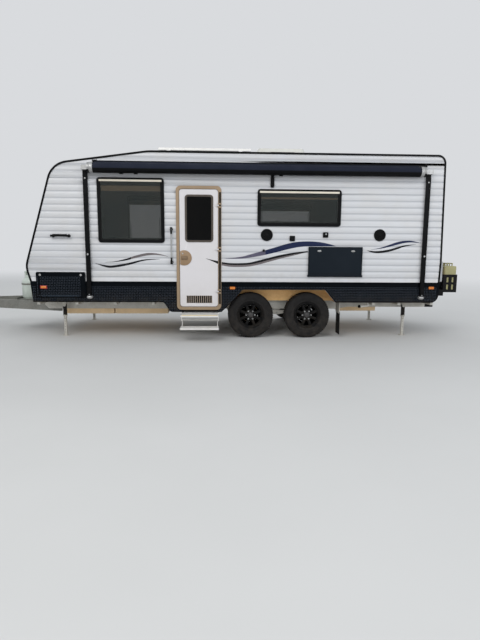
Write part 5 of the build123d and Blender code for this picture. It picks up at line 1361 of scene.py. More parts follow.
@dataclass
class PushOutWindows(Assembly):
    """Acrylic windows in their frames, with seal, blind cassettes, stays and latches."""

    windows: tuple[tuple[str, Span, Span, float], ...] = (
        # name, stations of the frame, heights of the frame, length of blind below its cassette
        ("bedroom", (1.11, 2.126), (1.512, 2.49), 0.065),
        ("saloon", (3.565, 4.876), (1.783, 2.345), 0.016),
    )
    border: float = 0.042
    seal_width: float = 0.014
    pane_y: float = -1.212
    cassette_y: Span = (-1.198, -1.168)
    blind_y: float = -1.185
    latch_share: float = 0.22

    def seals(self, x: Span, z: Span) -> Shape:
        """Seal round the pane and the lip that it sits in.

        Args:
            x: Stations of the frame.
            z: Heights of the frame.

        Returns:
            The shape.
        """
        shape = Shape()
        shape.ring(x, z, self.border - 0.002, self.seal_width, (self.pane_y - 0.0025, self.pane_y), 0.03)
        shape.ring(x, z, self.border - 0.006, 0.004, (-1.2195, -1.215), 0.028)
        return shape

    def hinge_rail(self, x: Span, z: Span) -> Shape:
        """Rail that the pane hangs from.

        Args:
            x: Stations of the pane.
            z: Heights of the pane.

        Returns:
            The shape.
        """
        shape = Shape()
        shape.block((x[0] - 0.008, x[1] + 0.008), (-1.22, -1.2125), (z[1] - 0.016, z[1] + 0.012), 0.0022)
        shape.rod((x[0] - 0.006, -1.219, z[1] + 0.01), (x[1] + 0.006, -1.219, z[1] + 0.01), 0.003, steps=12)
        return shape

    def cassettes(self, x: Span, z: Span) -> Shape:
        """Housings of the blind above and of the fly screen below.

        Args:
            x: Stations of the pane.
            z: Heights of the pane.

        Returns:
            The shape.
        """
        shape = Shape()
        inside = (x[0] + 0.006, x[1] - 0.006)
        shape.block(inside, self.cassette_y, (z[1] - 0.074, z[1] - 0.006), 0.006, 3)
        depth = (self.cassette_y[0] + 0.002, self.cassette_y[1])
        shape.block(inside, depth, (z[0] + 0.006, z[0] + 0.034), 0.006, 3)
        return shape

    def blind(self, x: Span, z: Span, drop: float) -> Shape:
        """Blind that hangs out of its cassette, with the bar at its hem.

        Args:
            x: Stations of the pane.
            z: Heights of the pane.
            drop: Its length below the cassette.

        Returns:
            The shape.
        """
        shape = Shape()
        inside = (x[0] + 0.012, x[1] - 0.012)
        low = z[1] - 0.086 - drop
        shape.block(inside, about(self.blind_y, 0.001), (low, z[1] - 0.07), 0.0006, 1)
        shape.rod((inside[0], self.blind_y, low), (inside[1], self.blind_y, low), 0.005, steps=16)
        return shape

    def stays(self, x: Span, z: Span) -> Shape:
        """Stays along both sides, and latches on the sill.

        Args:
            x: Stations of the pane.
            z: Heights of the pane.

        Returns:
            The shape.
        """
        shape = Shape()
        for edge, inward in zip(x, (1, -1)):
            foot = edge + inward * 0.03
            knee = edge + inward * 0.034
            path = [(foot, -1.198, z[0] + 0.02), (foot, -1.196, z[0] + 0.2), (knee, -1.192, z[0] + 0.34)]
            shape.tube(path, 0.0055)
            latch = edge + inward * (x[1] - x[0]) * self.latch_share
            shape.block(about(latch, 0.024), (-1.2065, -1.194), (z[0] + 0.012, z[0] + 0.04), 0.004)
            shape.rod((latch, -1.196, z[0] + 0.03), (latch, -1.185, z[0] + 0.05), 0.006)
        return shape

    def build(self) -> None:
        """Dress the frames and panes, and build the parts of each window on both sides."""
        self.model.refine("window_frames", "black_trim", 0.002, 3)
        self.model.paint("window_panes", "pane")
        for window, x_range, z_range, drop in self.windows:
            x, z = ((span[0] + self.border, span[1] - self.border) for span in (x_range, z_range))
            for side in Side:
                for shape, name, finish in (
                    (self.seals(x_range, z_range), "seal", "rubber"),
                    (self.hinge_rail(x, z), "hinge_rail", "hinge_cream"),
                    (self.cassettes(x, z), "cassette", "black_plastic"),
                    (self.blind(x, z, drop), "blind", "blind_tan"),
                    (self.stays(x, z), "stays", "black_plastic"),
                ):
                    if side is Side.RIGHT:
                        shape.flipped()
                    shape.piece(f"window_{name}_{window}_{side.label}", finish, "trim_black")


@dataclass
class EntryDoor(Assembly):
    """Entry door: skin, bronze window frame, vent bars, lock and seal."""

    leaf: float = -1.21
    window_x: Span = (2.453, 2.868)
    window_z: Span = (1.54, 2.238)
    vent_x: Span = (2.46, 2.857)
    vent_z: Span = (0.566, 0.7)
    vent_bars: int = 12
    bar_half: float = 0.0036
    lock: Span = (2.424, 1.285)
    lock_radius: float = 0.119
    lock_cut: float = 2.361
    lock_steps: int = 40
    leaf_x: Span = (2.352, 2.958)
    leaf_z: Span = (0.515, 2.335)

    def window(self) -> None:
        """Bronze frame round the door's window, with its inner seal."""
        frame, seal = Shape(), Shape()
        frame.ring(self.window_x, self.window_z, -0.012, 0.03, (self.leaf - 0.007, self.leaf), 0.052)
        frame.piece("door_window_frame", "window_bronze", "bronze_frame", Body.DOOR)
        seal.ring(self.window_x, self.window_z, 0.016, 0.01, about(self.leaf, 0.004), 0.032)
        seal.piece("door_window_seal", "rubber", "rubber", Body.DOOR)

    def vent(self) -> None:
        """Bars between the vent's slots and the mesh behind."""
        bars, mesh = Shape(), Shape()
        (x0, x1), (z0, z1) = self.vent_x, self.vent_z
        for index in range(self.vent_bars + 1):
            x = x0 + index * (x1 - x0) / self.vent_bars
            depth = (self.leaf - 0.003, self.leaf + 0.01)
            bars.block(about(x, self.bar_half), depth, (z0 + 0.006, z1 - 0.006), 0.0012, 1)
        bars.piece("door_vent_bars", "bronze", "door_white", Body.DOOR)
        mesh.block((x0 - 0.004, x1 + 0.004), (-1.185, -1.1815), (z0 + 0.002, z1 - 0.002), 0.0005, 1)
        mesh.piece("door_vent_mesh", "black_plastic", "door_white", Body.DOOR)

    def lock_plate(self) -> None:
        """Round lock plate, cut off by the door's edge, with its paddle and keyhole; the paddle and its
        surround are painted darker, as painted shade in the recess.
        """
        x, z = self.lock
        half = math.acos((self.lock_cut - x) / (self.lock_radius + 0.001))
        rim = []
        for index in range(self.lock_steps + 1):
            angle = -half + 2 * half * index / self.lock_steps
            across, up = self.lock_radius * math.cos(angle), self.lock_radius * math.sin(angle)
            rim.append((x + across, self.leaf - 0.0048, z + up))
        plate, paddle, barrel = Shape(), Shape(), Shape()
        plate.plate(rim, (0, -0.0025, 0), 0.001)
        plate.piece("door_lock_plate", "lock_beige", "bronze_frame", Body.DOOR)
        paddle.block((x - 0.038, x + 0.05), (-1.234, -1.216), about(z, 0.021), 0.006, 3)
        paddle.block((x - 0.044, x + 0.056), (-1.219, -1.2165), about(z, 0.03), 0.001, 1)
        paddle.piece("door_paddle", "lock_shade", "door_white", Body.DOOR)
        key = (x - 0.022, -1.2165, z + 0.066)
        barrel.rod(key, (key[0], -1.2215, key[2]), 0.012, rounding=0.0012)
        barrel.block(about(key[0], 0.0015), (-1.2222, -1.221), about(key[2], 0.006))
        barrel.piece("door_keyhole", "cast_silver", "door_white", Body.DOOR)

    def gasket(self) -> None:
        """Dark seal in the gap round the leaf, and the black strip over its hinges, which also stands for the
        shadow along that side of the frame as painted shade.
        """
        gasket, strip = Shape(), Shape()
        gasket.ring(self.leaf_x, self.leaf_z, 0.0, 0.0045, (-1.202, -1.196), 0.048)
        gasket.piece("door_gasket", "rubber", "rubber")
        # hinge strip, also painted shade along the hinge side of the frame
        strip.block((2.969, 2.998), (-1.2215, -1.2165), (0.56, 2.29), 0.002)
        strip.piece("door_hinge_strip", "rubber", "rubber")

    def build(self) -> None:
        """Dress the door."""
        self.dress(("door_frame", "bronze", 0.0012, 2), ("door_leaf", "door_skin", 0.001))
        self.model.paint("door_glass", "door_pane")
        self.window()
        self.vent()
        self.lock_plate()
        self.gasket()


@dataclass
class TunnelBoot(Assembly):
    """Latches and side markers of the tunnel boot's doors."""

    latch_x: Span = (0.195, 0.82)
    latch_z: float = 1.01
    latch_y: float = 1.2255
    marker: Span = (0.243, 0.82)
    latch: Outline = (
        (0.0, 0.0085), (0.008, 0.0082), (0.0095, 0.007), (0.0105, 0.004), (0.016, 0.0034), (0.0172, 0.0018),
        (0.0172, 0.0), (0.0, 0.0),
    )

    def build(self) -> None:
        """Dress both doors."""
        self.model.refine("boot_frames", "black_trim", 0.0008)
        x, z = self.marker
        for side in Side:
            body, out = f"boot_{side.label}", side.value
            latches, lens, base = Shape(), Shape(), Shape()
            for latch_x in self.latch_x:
                latches.turned(self.latch, (latch_x, out * self.latch_y, self.latch_z), (0, out, 0), 32)
            latches.piece(f"boot_latches_{side.label}", "cast_silver", "chequer_black", body)
            lens.block(about(x, 0.04), (out * 1.2215, out * 1.2345), about(z, 0.016), 0.005, 3)
            lens.piece(f"boot_marker_{side.label}", "lens_amber", "lamp_lens", body)
            base.block(about(x, 0.052), (out * 1.22, out * 1.2275), about(z, 0.026), 0.003)
            base.piece(f"boot_marker_base_{side.label}", "lens_red", "lamp_lens", body)


@dataclass
class PicnicTable(Assembly):
    """Fold-down table with edge bead and its two latches."""

    x_range: Span = (4.3815, 5.2385)
    z_range: Span = (1.003, 1.47)
    face: float = -1.236
    latches: Span = (4.548, 5.085)
    latch_z: float = 1.405
    latch_flat: float = 0.45
    latch: Outline = (
        (0.0, 0.01), (0.015, 0.0096), (0.019, 0.008), (0.021, 0.005), (0.03, 0.0038), (0.032, 0.0018),
        (0.032, -0.001), (0.0, -0.001),
    )

    def build(self) -> None:
        """Dress the table."""
        self.dress(("table_tray", "table_grey", 0.0012, 2), ("picnic_table", "table_grey", 0.003, 3))
        bead, knobs = Shape(), Shape()
        depth = (self.face - 0.0012, self.face + 0.001)
        (x0, x1), z = self.x_range, self.z_range[0]
        bead.ring(self.x_range, self.z_range, 0.01, 0.004, depth, 0.012)
        bead.block((x0 + 0.014, x1 - 0.014), depth, (z + 0.04, z + 0.046), 0.0008, 1)
        bead.piece("table_bead", "black_plastic", "table_grey", Body.TABLE)
        for x in self.latches:
            centre = (x, self.face, self.latch_z)
            knobs.squeeze(knobs.turned(self.latch, centre, steps=40), centre, (1.0, 1.0, self.latch_flat))
        knobs.piece("table_latches", "cast_silver", "table_grey", Body.TABLE)


@dataclass
class Awning(Assembly):
    """Rolled awning: spiral sheet, end castings, arms, feet and cradle."""

    x_range: Span = (1.09, 6.06)
    x_gap: float = 0.002
    centre_y: float = -1.296
    centre_z: float = 2.618
    tube: float = 0.04
    outer: float = 0.0705
    turns: float = 6.75
    steps: int = 40
    last_angle: float = 62.0
    rail: Span = (-1.213, 2.722)
    rail_steps: int = 6
    sag: float = 0.006
    columns: int = 30
    arm_x: Span = (0.947, 6.228)
    arm_z: Span = (0.73, 2.54)
    arm_face: float = -1.245
    tabs: tuple[float, ...] = (1.503, 1.718, 3.912)
    lead_radii: Span = (0.077, 0.0725)
    cradle_x: Span = (3.76, 3.82)
    heads: float = 2.58
    casting: Outline = (
        (0.03, 0.086), (0.052, 0.086), (0.06, 0.082), (0.066, 0.072), (0.0705, 0.06), (0.0765, 0.052),
        (0.0785, 0.04), (0.0785, 0.012), (0.0765, 0.004), (0.0765, 0.0005), (0.03, 0.0005),
    )
    hub: Outline = ((0.0, 0.092), (0.014, 0.091), (0.02, 0.088), (0.022, 0.084), (0.0, 0.084))
    foot: Outline = (
        (0.0, 0.054), (0.016, 0.053), (0.031, 0.047), (0.042, 0.036), (0.048, 0.02), (0.05, 0.0), (0.0, 0.0),
    )

    def path(self) -> list[Span]:
        """Section of the fabric, from its tube round the roll and up to the rail.

        Returns:
            Rows of Y and Z.
        """
        count = int(self.turns * self.steps)
        path = []
        for index in range(count + 1):
            angle = math.radians(self.last_angle) - math.tau * self.turns * (1 - index / count)
            radius = self.tube + (self.outer - self.tube) * index / count
            path.append((self.centre_y - radius * math.cos(angle), self.centre_z + radius * math.sin(angle)))
        start = Vector(path[-1])
        for index in range(1, self.rail_steps + 1):
            share = index / self.rail_steps
            y, z = start.lerp(Vector(self.rail), share)
            path.append((y, z - self.sag * math.sin(math.pi * share)))
        return path

    def sheet(self) -> None:
        """Rolled fabric, a little uneven in its outer turn."""
        shape = Shape()
        path = self.path()
        last = int(self.turns * self.steps)
        width = self.x_range[1] - self.x_range[0] - 2 * self.x_gap
        rows = []
        for column in range(self.columns + 1):
            share = column / self.columns
            x = self.x_range[0] + self.x_gap + width * share
            swell = 0.0009 * math.sin(17.0 * share) + 0.0006 * math.sin(41.0 * share + 1.0)
            row = []
            for index, (y, z) in enumerate(path):
                grown = 1.0 + swell / self.outer * (last - self.steps < index <= last)
                y, z = (c + (p - c) * grown for c, p in ((self.centre_y, y), (self.centre_z, z)))
                row.append(shape.bm.verts.new(shape.at((x, y, z))))
            rows.append(row)
        for first, second in zip(rows, rows[1:]):
            for index in range(len(path) - 1):
                shape.bm.faces.new((first[index], second[index], second[index + 1], first[index + 1]))
        made = shape.piece("awning_sheet", "awning_cloth", "awning_fabric", smooth=60.0)
        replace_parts(made, "awning_roll")

    def core(self) -> None:
        """Tube inside the roll."""
        shape = Shape()
        ends = [(x, self.centre_y, self.centre_z) for x in (self.x_range[0] - 0.01, self.x_range[1] + 0.01)]
        shape.rod(*ends, self.tube - 0.003, steps=32)
        shape.piece("awning_tube", "mill_aluminium", "trim_black")

    def castings(self) -> None:
        """Silver end castings with their stepped rims, and the dome feet under the arms."""
        shape = Shape()
        for start, out in ((self.x_range[0] - 0.0002, -1), (self.x_range[1] + 0.0002, 1)):
            centre = (start, self.centre_y, self.centre_z)
            shape.turned(self.casting, centre, (out, 0, 0), 48, True)
            shape.turned(self.hub, centre, (out, 0, 0), 24)
        for x in self.arm_x:
            centre = (x, -1.205, 0.668)
            shape.squeeze(shape.turned(self.foot, centre, steps=40), centre, (1.0, 1.0, 0.66))
        shape.piece("awning_castings", "cast_silver", "trim_black")

    def arms(self) -> None:
        """Ridges, slide channel and locks on both arms."""
        ridges, knobs = Shape(), Shape()
        face = self.arm_face
        for x in self.arm_x:
            for side in (-1, 1):
                ridges.block(about(x + side * 0.03, 0.004), (face - 0.004, face), self.arm_z, 0.0015)
                ridges.block(about(x + side * 0.01, 0.003), (face - 0.0025, face - 0.0005), self.arm_z, 0.001)
            for z in (0.76, 1.33, 2.25):
                ridges.block(about(x, 0.026), (face - 0.009, face), about(z, 0.045), 0.004, 3)
            knobs.rod((x, face - 0.007, 1.33), (x, face - 0.017, 1.33), 0.016, 0.013, 24, 0.002)
            for z, radius in ((2.47, 0.011), (0.712, 0.009)):
                knobs.rod((x, face, z), (x, face - 0.005, z), radius, rounding=0.001)
        ridges.piece("awning_arm_ridges", "black_trim", "trim_black")
        knobs.piece("awning_arm_knobs", "cast_silver", "trim_black")

    def lead_rail(self) -> None:
        """Black lead rail along the underside of the roll, its tabs, and the ends of the wall rail; the
        rail's wrap round the roll's lower quarter also stands for the shade under the roll, as painted shade.
        """
        shape = Shape()
        x0, x1 = self.x_range
        # part real lead rail, part painted shade: the wrap covers the roll's underside in black
        arc = range(-12, -109, -8)
        rim = [(x0, *self.on_roll(self.lead_radii[0], angle)) for angle in arc]
        rim += [(x0, *self.on_roll(self.lead_radii[1], angle)) for angle in reversed(arc)]
        shape.plate(rim, (x1 - x0, 0, 0), 0.0006)
        for angle in (-30, -62):
            place = self.on_roll(0.0775, angle)
            shape.rod((x0 + 0.002, *place), (x1 - 0.002, *place), 0.0022, steps=8)
        for x in self.tabs:
            shape.block(about(x, 0.024), (-1.308, -1.284), (2.528, 2.542), 0.004)
            shape.rod((x - 0.03, -1.296, 2.533), (x + 0.03, -1.296, 2.533), 0.006, rounding=0.001)
        for ends in ((1.058, 1.128), (6.152, 6.202)):
            shape.block(ends, (-1.223, -1.1995), (2.704, 2.744), 0.003)
        shape.piece("awning_lead_rail", "black_trim", "trim_black")

    def on_roll(self, radius: float, degrees: float) -> Span:
        """Y and Z at a radius and an angle about the roll's axis."""
        angle = math.radians(degrees)
        return (self.centre_y - radius * math.cos(angle), self.centre_z + radius * math.sin(angle))

    def cradle(self) -> None:
        """Rubber lips of the cradle."""
        shape = Shape()
        shape.block(self.cradle_x, (-1.31, -1.218), (2.543, 2.546), 0.001, 1)
        shape.block(self.cradle_x, (-1.2245, -1.2185), (2.38, 2.52), 0.002)
        shape.piece("awning_cradle_lips", "black_plastic", "trim_black")

    def build(self) -> None:
        """Dress the awning."""
        frame = self.model.refine("awning_frame", "black_trim", 0.0012)
        low, high = (BOW + 1.05, BOW + 6.1)
        tint(frame, "cast_silver", lambda at, _: at.z > GROUND + self.heads and not low < at.x < high)
        self.sheet()
        self.core()
        self.castings()
        self.arms()
        self.lead_rail()
        self.cradle()


@dataclass
class RoadWheel(Assembly):
    """Tyre with its tread, and the dress of its rim; the outboard side looks to minus Y."""

    pitches: int = 60
    nuts: int = 6
    nut_circle: float = 0.0698
    spokes: int = 8
    barrel_depth: float = 0.03
    shield_inset: float = 0.146
    spare: Point = (6.735, 0.0, 1.18)
    sidewall: Outline = (
        (0.1903, 0.073), (0.208, 0.079), (0.214, 0.09), (0.22, 0.101), (0.227, 0.106), (0.233, 0.1085),
        (0.235, 0.11), (0.238, 0.1102), (0.24, 0.1094), (0.26, 0.114), (0.28, 0.1168), (0.295, 0.1172),
        (0.2975, 0.1162), (0.315, 0.1148), (0.33, 0.112), (0.34, 0.1084), (0.349, 0.103), (0.3555, 0.094),
        (0.3575, 0.084),
    )
    tread_base: float = 0.3575
    tread_top: float = 0.3661
    tread_blocks: tuple[tuple[Span, Span], ...] = (
        # ends round the tyre, ends across it
        ((-0.011, 0.016), (-0.066, -0.028)), ((-0.016, 0.012), (-0.022, 0.021)),
        ((-0.012, 0.015), (0.027, 0.065)),
    )
    shoulder_blocks: tuple[tuple[Span, Span], ...] = (
        ((-0.015, 0.013), (-0.102, -0.072)), ((-0.014, 0.014), (0.071, 0.101)),
    )
    side_blocks: tuple[tuple[Span, Span], ...] = (
        ((-0.01, 0.008), (-0.11, -0.101)), ((-0.008, 0.01), (0.101, 0.11)),
    )
    spoke: tuple[Point, ...] = (
        (0.086, -0.049, -0.013), (0.18, -0.049, -0.01), (0.18, -0.049, 0.01), (0.086, -0.049, 0.013),
    )
    hub_ring: Outline = (
        (0.056, 0.049), (0.056, 0.06), (0.06, 0.063), (0.084, 0.063), (0.09, 0.058), (0.092, 0.049),
    )
    flange: Outline = (
        (0.18, 0.072), (0.1835, 0.074), (0.1945, 0.0885), (0.204, 0.091), (0.2078, 0.0895), (0.2078, 0.085),
        (0.18, 0.066),
    )
    hub_cap: Outline = (
        (0.0, 0.0885), (0.022, 0.0875), (0.034, 0.085), (0.0405, 0.079), (0.043, 0.07), (0.046, 0.0655),
        (0.052, 0.064), (0.054, 0.06), (0.054, 0.052), (0.0446, 0.052), (0.0446, 0.065), (0.0, 0.085),
    )
    bore_cap: Outline = (
        (0.0, 0.045), (0.03, 0.044), (0.034, 0.04), (0.05, 0.039), (0.053, 0.036), (0.053, 0.0345),
        (0.0, 0.0345),
    )
    dust_shield: Outline = (
        (0.14, 0.0), (0.17, 0.0), (0.196, 0.01), (0.2, 0.014), (0.1985, 0.0155), (0.195, 0.012),
        (0.169, 0.002), (0.14, 0.002),
    )

    def tyre(self) -> Shape:
        """Spun carcass with rows of blocks.

        Returns:
            The tyre about the origin, its axis along Y.
        """
        shape = Shape(CENTRE)
        far = [(radius, -shift) for radius, shift in reversed(self.sidewall)]
        shape.turned([*self.sidewall, (self.tread_base, 0.0), *far], CENTRE, OUTWARD, 96, True)
        low, top = self.tread_base - 0.004, self.tread_top
        verts = []
        for blocks, depth in (
            (self.shoulder_blocks, (low - 0.004, top - 0.0012)), (self.tread_blocks, (low, top)),
            (self.side_blocks, (0.336, 0.356)),
        ):
            for around, across in blocks:
                verts += shape.block(around, across, depth, 0.0018, 1)
        shape.ring_of(verts, CENTRE, (0, 1, 0), self.pitches)
        return shape

    def dress_of(self, cap_profile: Outline) -> tuple[Shape, Shape, Shape]:
        """Raised spokes, nuts, and the cap of one rim.

        Args:
            cap_profile: Profile of its cap.

        Returns:
            Spokes, nuts and cap about the origin.
        """
        spokes, nuts, cap = Shape(CENTRE), Shape(CENTRE), Shape(CENTRE)
        for index in range(self.spokes):
            turn = Matrix.Rotation(math.tau * (index + 0.5) / self.spokes, 4, "Y")
            spokes.plate([turn @ Vector(point) for point in self.spoke], (0, -0.013, 0), 0.004)
        spokes.turned(self.hub_ring, CENTRE, OUTWARD, 64, True)
        spokes.turned(self.flange, CENTRE, OUTWARD, 96, True)
        for index in range(self.nuts):
            angle = math.tau * index / self.nuts
            x, z = self.nut_circle * math.cos(angle), self.nut_circle * math.sin(angle)
            nuts.rod((x, -0.058, z), (x, -0.066, z), 0.014, 0.0125, 24)
            nuts.rod((x, -0.064, z), (x, -0.084, z), 0.0112, steps=6, rounding=0.001)
            nuts.rod((x, -0.083, z), (x, -0.088, z), 0.0085, 0.005, 16)
        nuts.rod((0.0, -0.072, 0.164), (0.0, -0.094, 0.16), 0.0042, 0.0036, 12, 0.0005)
        cap.turned(cap_profile, CENTRE)
        return spokes, nuts, cap

    def shield(self, axle: str, side: Side) -> None:
        """Dished dust shield behind a brake drum, near-black so that it also keeps the view through the rim
        dark, as painted shade.

        Args:
            axle: Name of the axle.
            side: Side of the caravan.
        """
        shape = Shape()
        foot = (AXLES[axle], side.value * (TRACK_HALF - self.shield_inset), TYRE_RADIUS)
        shape.turned(self.dust_shield, foot, (0, side.value, 0), 48, True)
        # dust shield that also stands for the shade inside the wheel, painted shade
        shape.piece(f"brake_shield_{axle}_{side.label}", "barrel_black", "black_steel")

    def place(self, parts: tuple[Shape, ...], turn: Matrix, body: str, label: str, node: str) -> None:
        """Put one wheel's pieces where they go.

        Args:
            parts: Spokes, nuts, cap and tyre about the origin.
            turn: Where the wheel goes.
            body: Body that it rides on.
            label: End of its pieces' names.
            node: Node that its tyre stands for.
        """
        *dress, tyre = parts
        made = Shape().paste(tyre, turn).piece(f"tyre_tread_{label}", "tyre", "tyre", body, 40.0)
        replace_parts(made, node)
        names = (("spokes", "rim_black"), ("nuts", "nut_chrome"), ("cap", "cap_grey"))
        for part, (name, finish) in zip(dress, names):
            Shape().paste(part, turn).piece(f"rim_{name}_{label}", finish, "alloy_black", body)

    def build(self) -> None:
        """Dress the four road wheels and the spare."""
        tyre = self.tyre()
        parts = (*self.dress_of(self.hub_cap), tyre)
        for axle, x in AXLES.items():
            for side in Side:
                label = f"{axle}_{side.label}"
                rim = self.model.paint(f"rim_{label}", "rim_black")
                tint(rim, "barrel_black", lambda middle, _: abs(middle.y) < TRACK_HALF + self.barrel_depth)
                self.shield(axle, side)
                turn = Matrix.Translation(spot(x, side.value * TRACK_HALF, TYRE_RADIUS)) @ side.turn
                self.place(parts, turn, f"wheel_{label}", label, f"tyre_{label}")
        self.model.paint("spare_rim", "rim_black")
        back = Matrix.Translation(spot(*self.spare)) @ Matrix.Rotation(math.pi / 2, 4, "Z")
        self.place((*self.dress_of(self.bore_cap), tyre), back, Body.CARAVAN, "spare", "spare_tyre")


@dataclass
class RunningGear(Assembly):
    """U-bolts, spring plates and bolt heads of the suspension."""

    spring_y: float = 0.775
    bolt_gap: float = 0.034
    bolt_radius: float = 0.0055
    half_spring: float = 0.03
    hangers: tuple[Span, ...] = ((3.15, 0.386), (4.73, 0.386), (3.94, 0.375))

    def axle_clamps(self) -> None:
        """U-bolts over both springs of each axle, with their nuts and the plate below."""
        shape = Shape()
        for x in AXLES.values():
            for bolt_x in about(x, self.bolt_gap):
                for y in about(-self.spring_y, self.half_spring):
                    ends = [(bolt_x, y, TYRE_RADIUS + z) for z in (-0.082, -0.078, -0.068, 0.034)]
                    shape.rod(ends[0], ends[3], self.bolt_radius, steps=12)
                    shape.rod(ends[1], ends[2], 0.01, steps=6)
                path = []
                for degrees in range(0, 181, 20):
                    across, up = math.cos(math.radians(degrees)), math.sin(math.radians(degrees))
                    y = self.half_spring * across - self.spring_y
                    path.append((bolt_x, y, TYRE_RADIUS + 0.031 + 0.008 * up))
                shape.tube(path, self.bolt_radius)
            depth = (TYRE_RADIUS - 0.068, TYRE_RADIUS - 0.0605)
            shape.block(about(x, 0.052), about(-self.spring_y, 0.042), depth, 0.002)
        shape.mirrored()
        shape.piece("spring_bolts", "zinc", "galvanised")

    def hanger_bolts(self) -> None:
        """Bolt heads of the hangers and rockers."""
        shape = Shape()
        for x, z in self.hangers:
            for out in (-1, 1):
                y = out * self.half_spring - self.spring_y
                shape.rod((x, y, z), (x, y + out * 0.012, z), 0.014, steps=6, rounding=0.001)
        shape.mirrored()
        shape.piece("hanger_bolt_heads", "cast_silver", "galvanised")

    def build(self) -> None:
        """Dress axles and springs."""
        self.dress(
            ("axles", "black_paint", 0.002, 2), ("leaf_springs", "black_paint", 0.0008),
            ("underframe_brackets", "zinc", 0.0012), ("mud_flaps", "rubber", 0.0015, 2),
        )
        self.axle_clamps()
        self.hanger_bolts()


@dataclass
class Chassis(Assembly):
    """Rails, joists, tank guards and drain."""

    tanks: tuple[Point, ...] = ((0.38, 1.215, 0.342), (1.235, 2.11, 0.342), (5.000, 5.64, 0.395))
    rib_pitch: float = 0.06
    rib_width: float = 0.025
    rail_face: float = -0.8
    rail_bolts: int = 10
    bolt_pitch: float = 0.6
    drain: Point = (5.297, -1.0255, 0.5052)
    drain_axis: Point = (-0.978, -0.195, -0.075)
    drain_cap: Outline = (
        (0.0, 0.03), (0.022, 0.03), (0.026, 0.026), (0.026, 0.002), (0.022, 0.0), (0.0, 0.0),
    )

    def guards(self) -> None:
        """Ribs pressed into the sides and undersides of the water tanks' guards."""
        shape = Shape()
        sides = []
        for x0, x1, low in self.tanks:
            count = int((x1 - x0 - 0.04) / self.rib_pitch)
            rib = (x0 + 0.03, x0 + 0.03 + self.rib_width)
            first = shape.block(rib, (-0.753, -0.748), (low + 0.03, 0.505), 0.0015, 1)
            sides += shape.row(first, (self.rib_pitch, 0, 0), count)
            first = shape.block(rib, (-0.72, 0.72), (low - 0.003, low + 0.002), 0.0015, 1)
            shape.row(first, (self.rib_pitch, 0, 0), count)
        shape.mirrored(sides)
        shape.piece("tank_guard_ribs", "guard_beige", "tank_plastic")

    def hardware(self) -> None:
        """Bolts along the rails and the cap of the drain."""
        bolts, cap = Shape(), Shape()
        ends = [(0.3, y, 0.52) for y in (self.rail_face, self.rail_face - 0.007)]
        first = bolts.rod(*ends, 0.011, steps=6, rounding=0.001)
        bolts.row(first, (self.bolt_pitch, 0, 0), self.rail_bolts)
        bolts.mirrored()
        bolts.piece("rail_bolts", "zinc", "galvanised")
        cap.turned(self.drain_cap, self.drain, self.drain_axis, 32)
        cap.piece("drain_cap", "black_plastic", "pvc_white")

    def build(self) -> None:
        """Dress the chassis."""
        # the tank guards' beige carries painted warm sunlight
        self.dress(
            ("rails", "zinc", 0.003, 2), ("joists", "zinc", 0.002), ("water_tanks", "guard_beige"),
            ("waste_pipe", "pipe_white"),
        )
        self.guards()
        self.hardware()


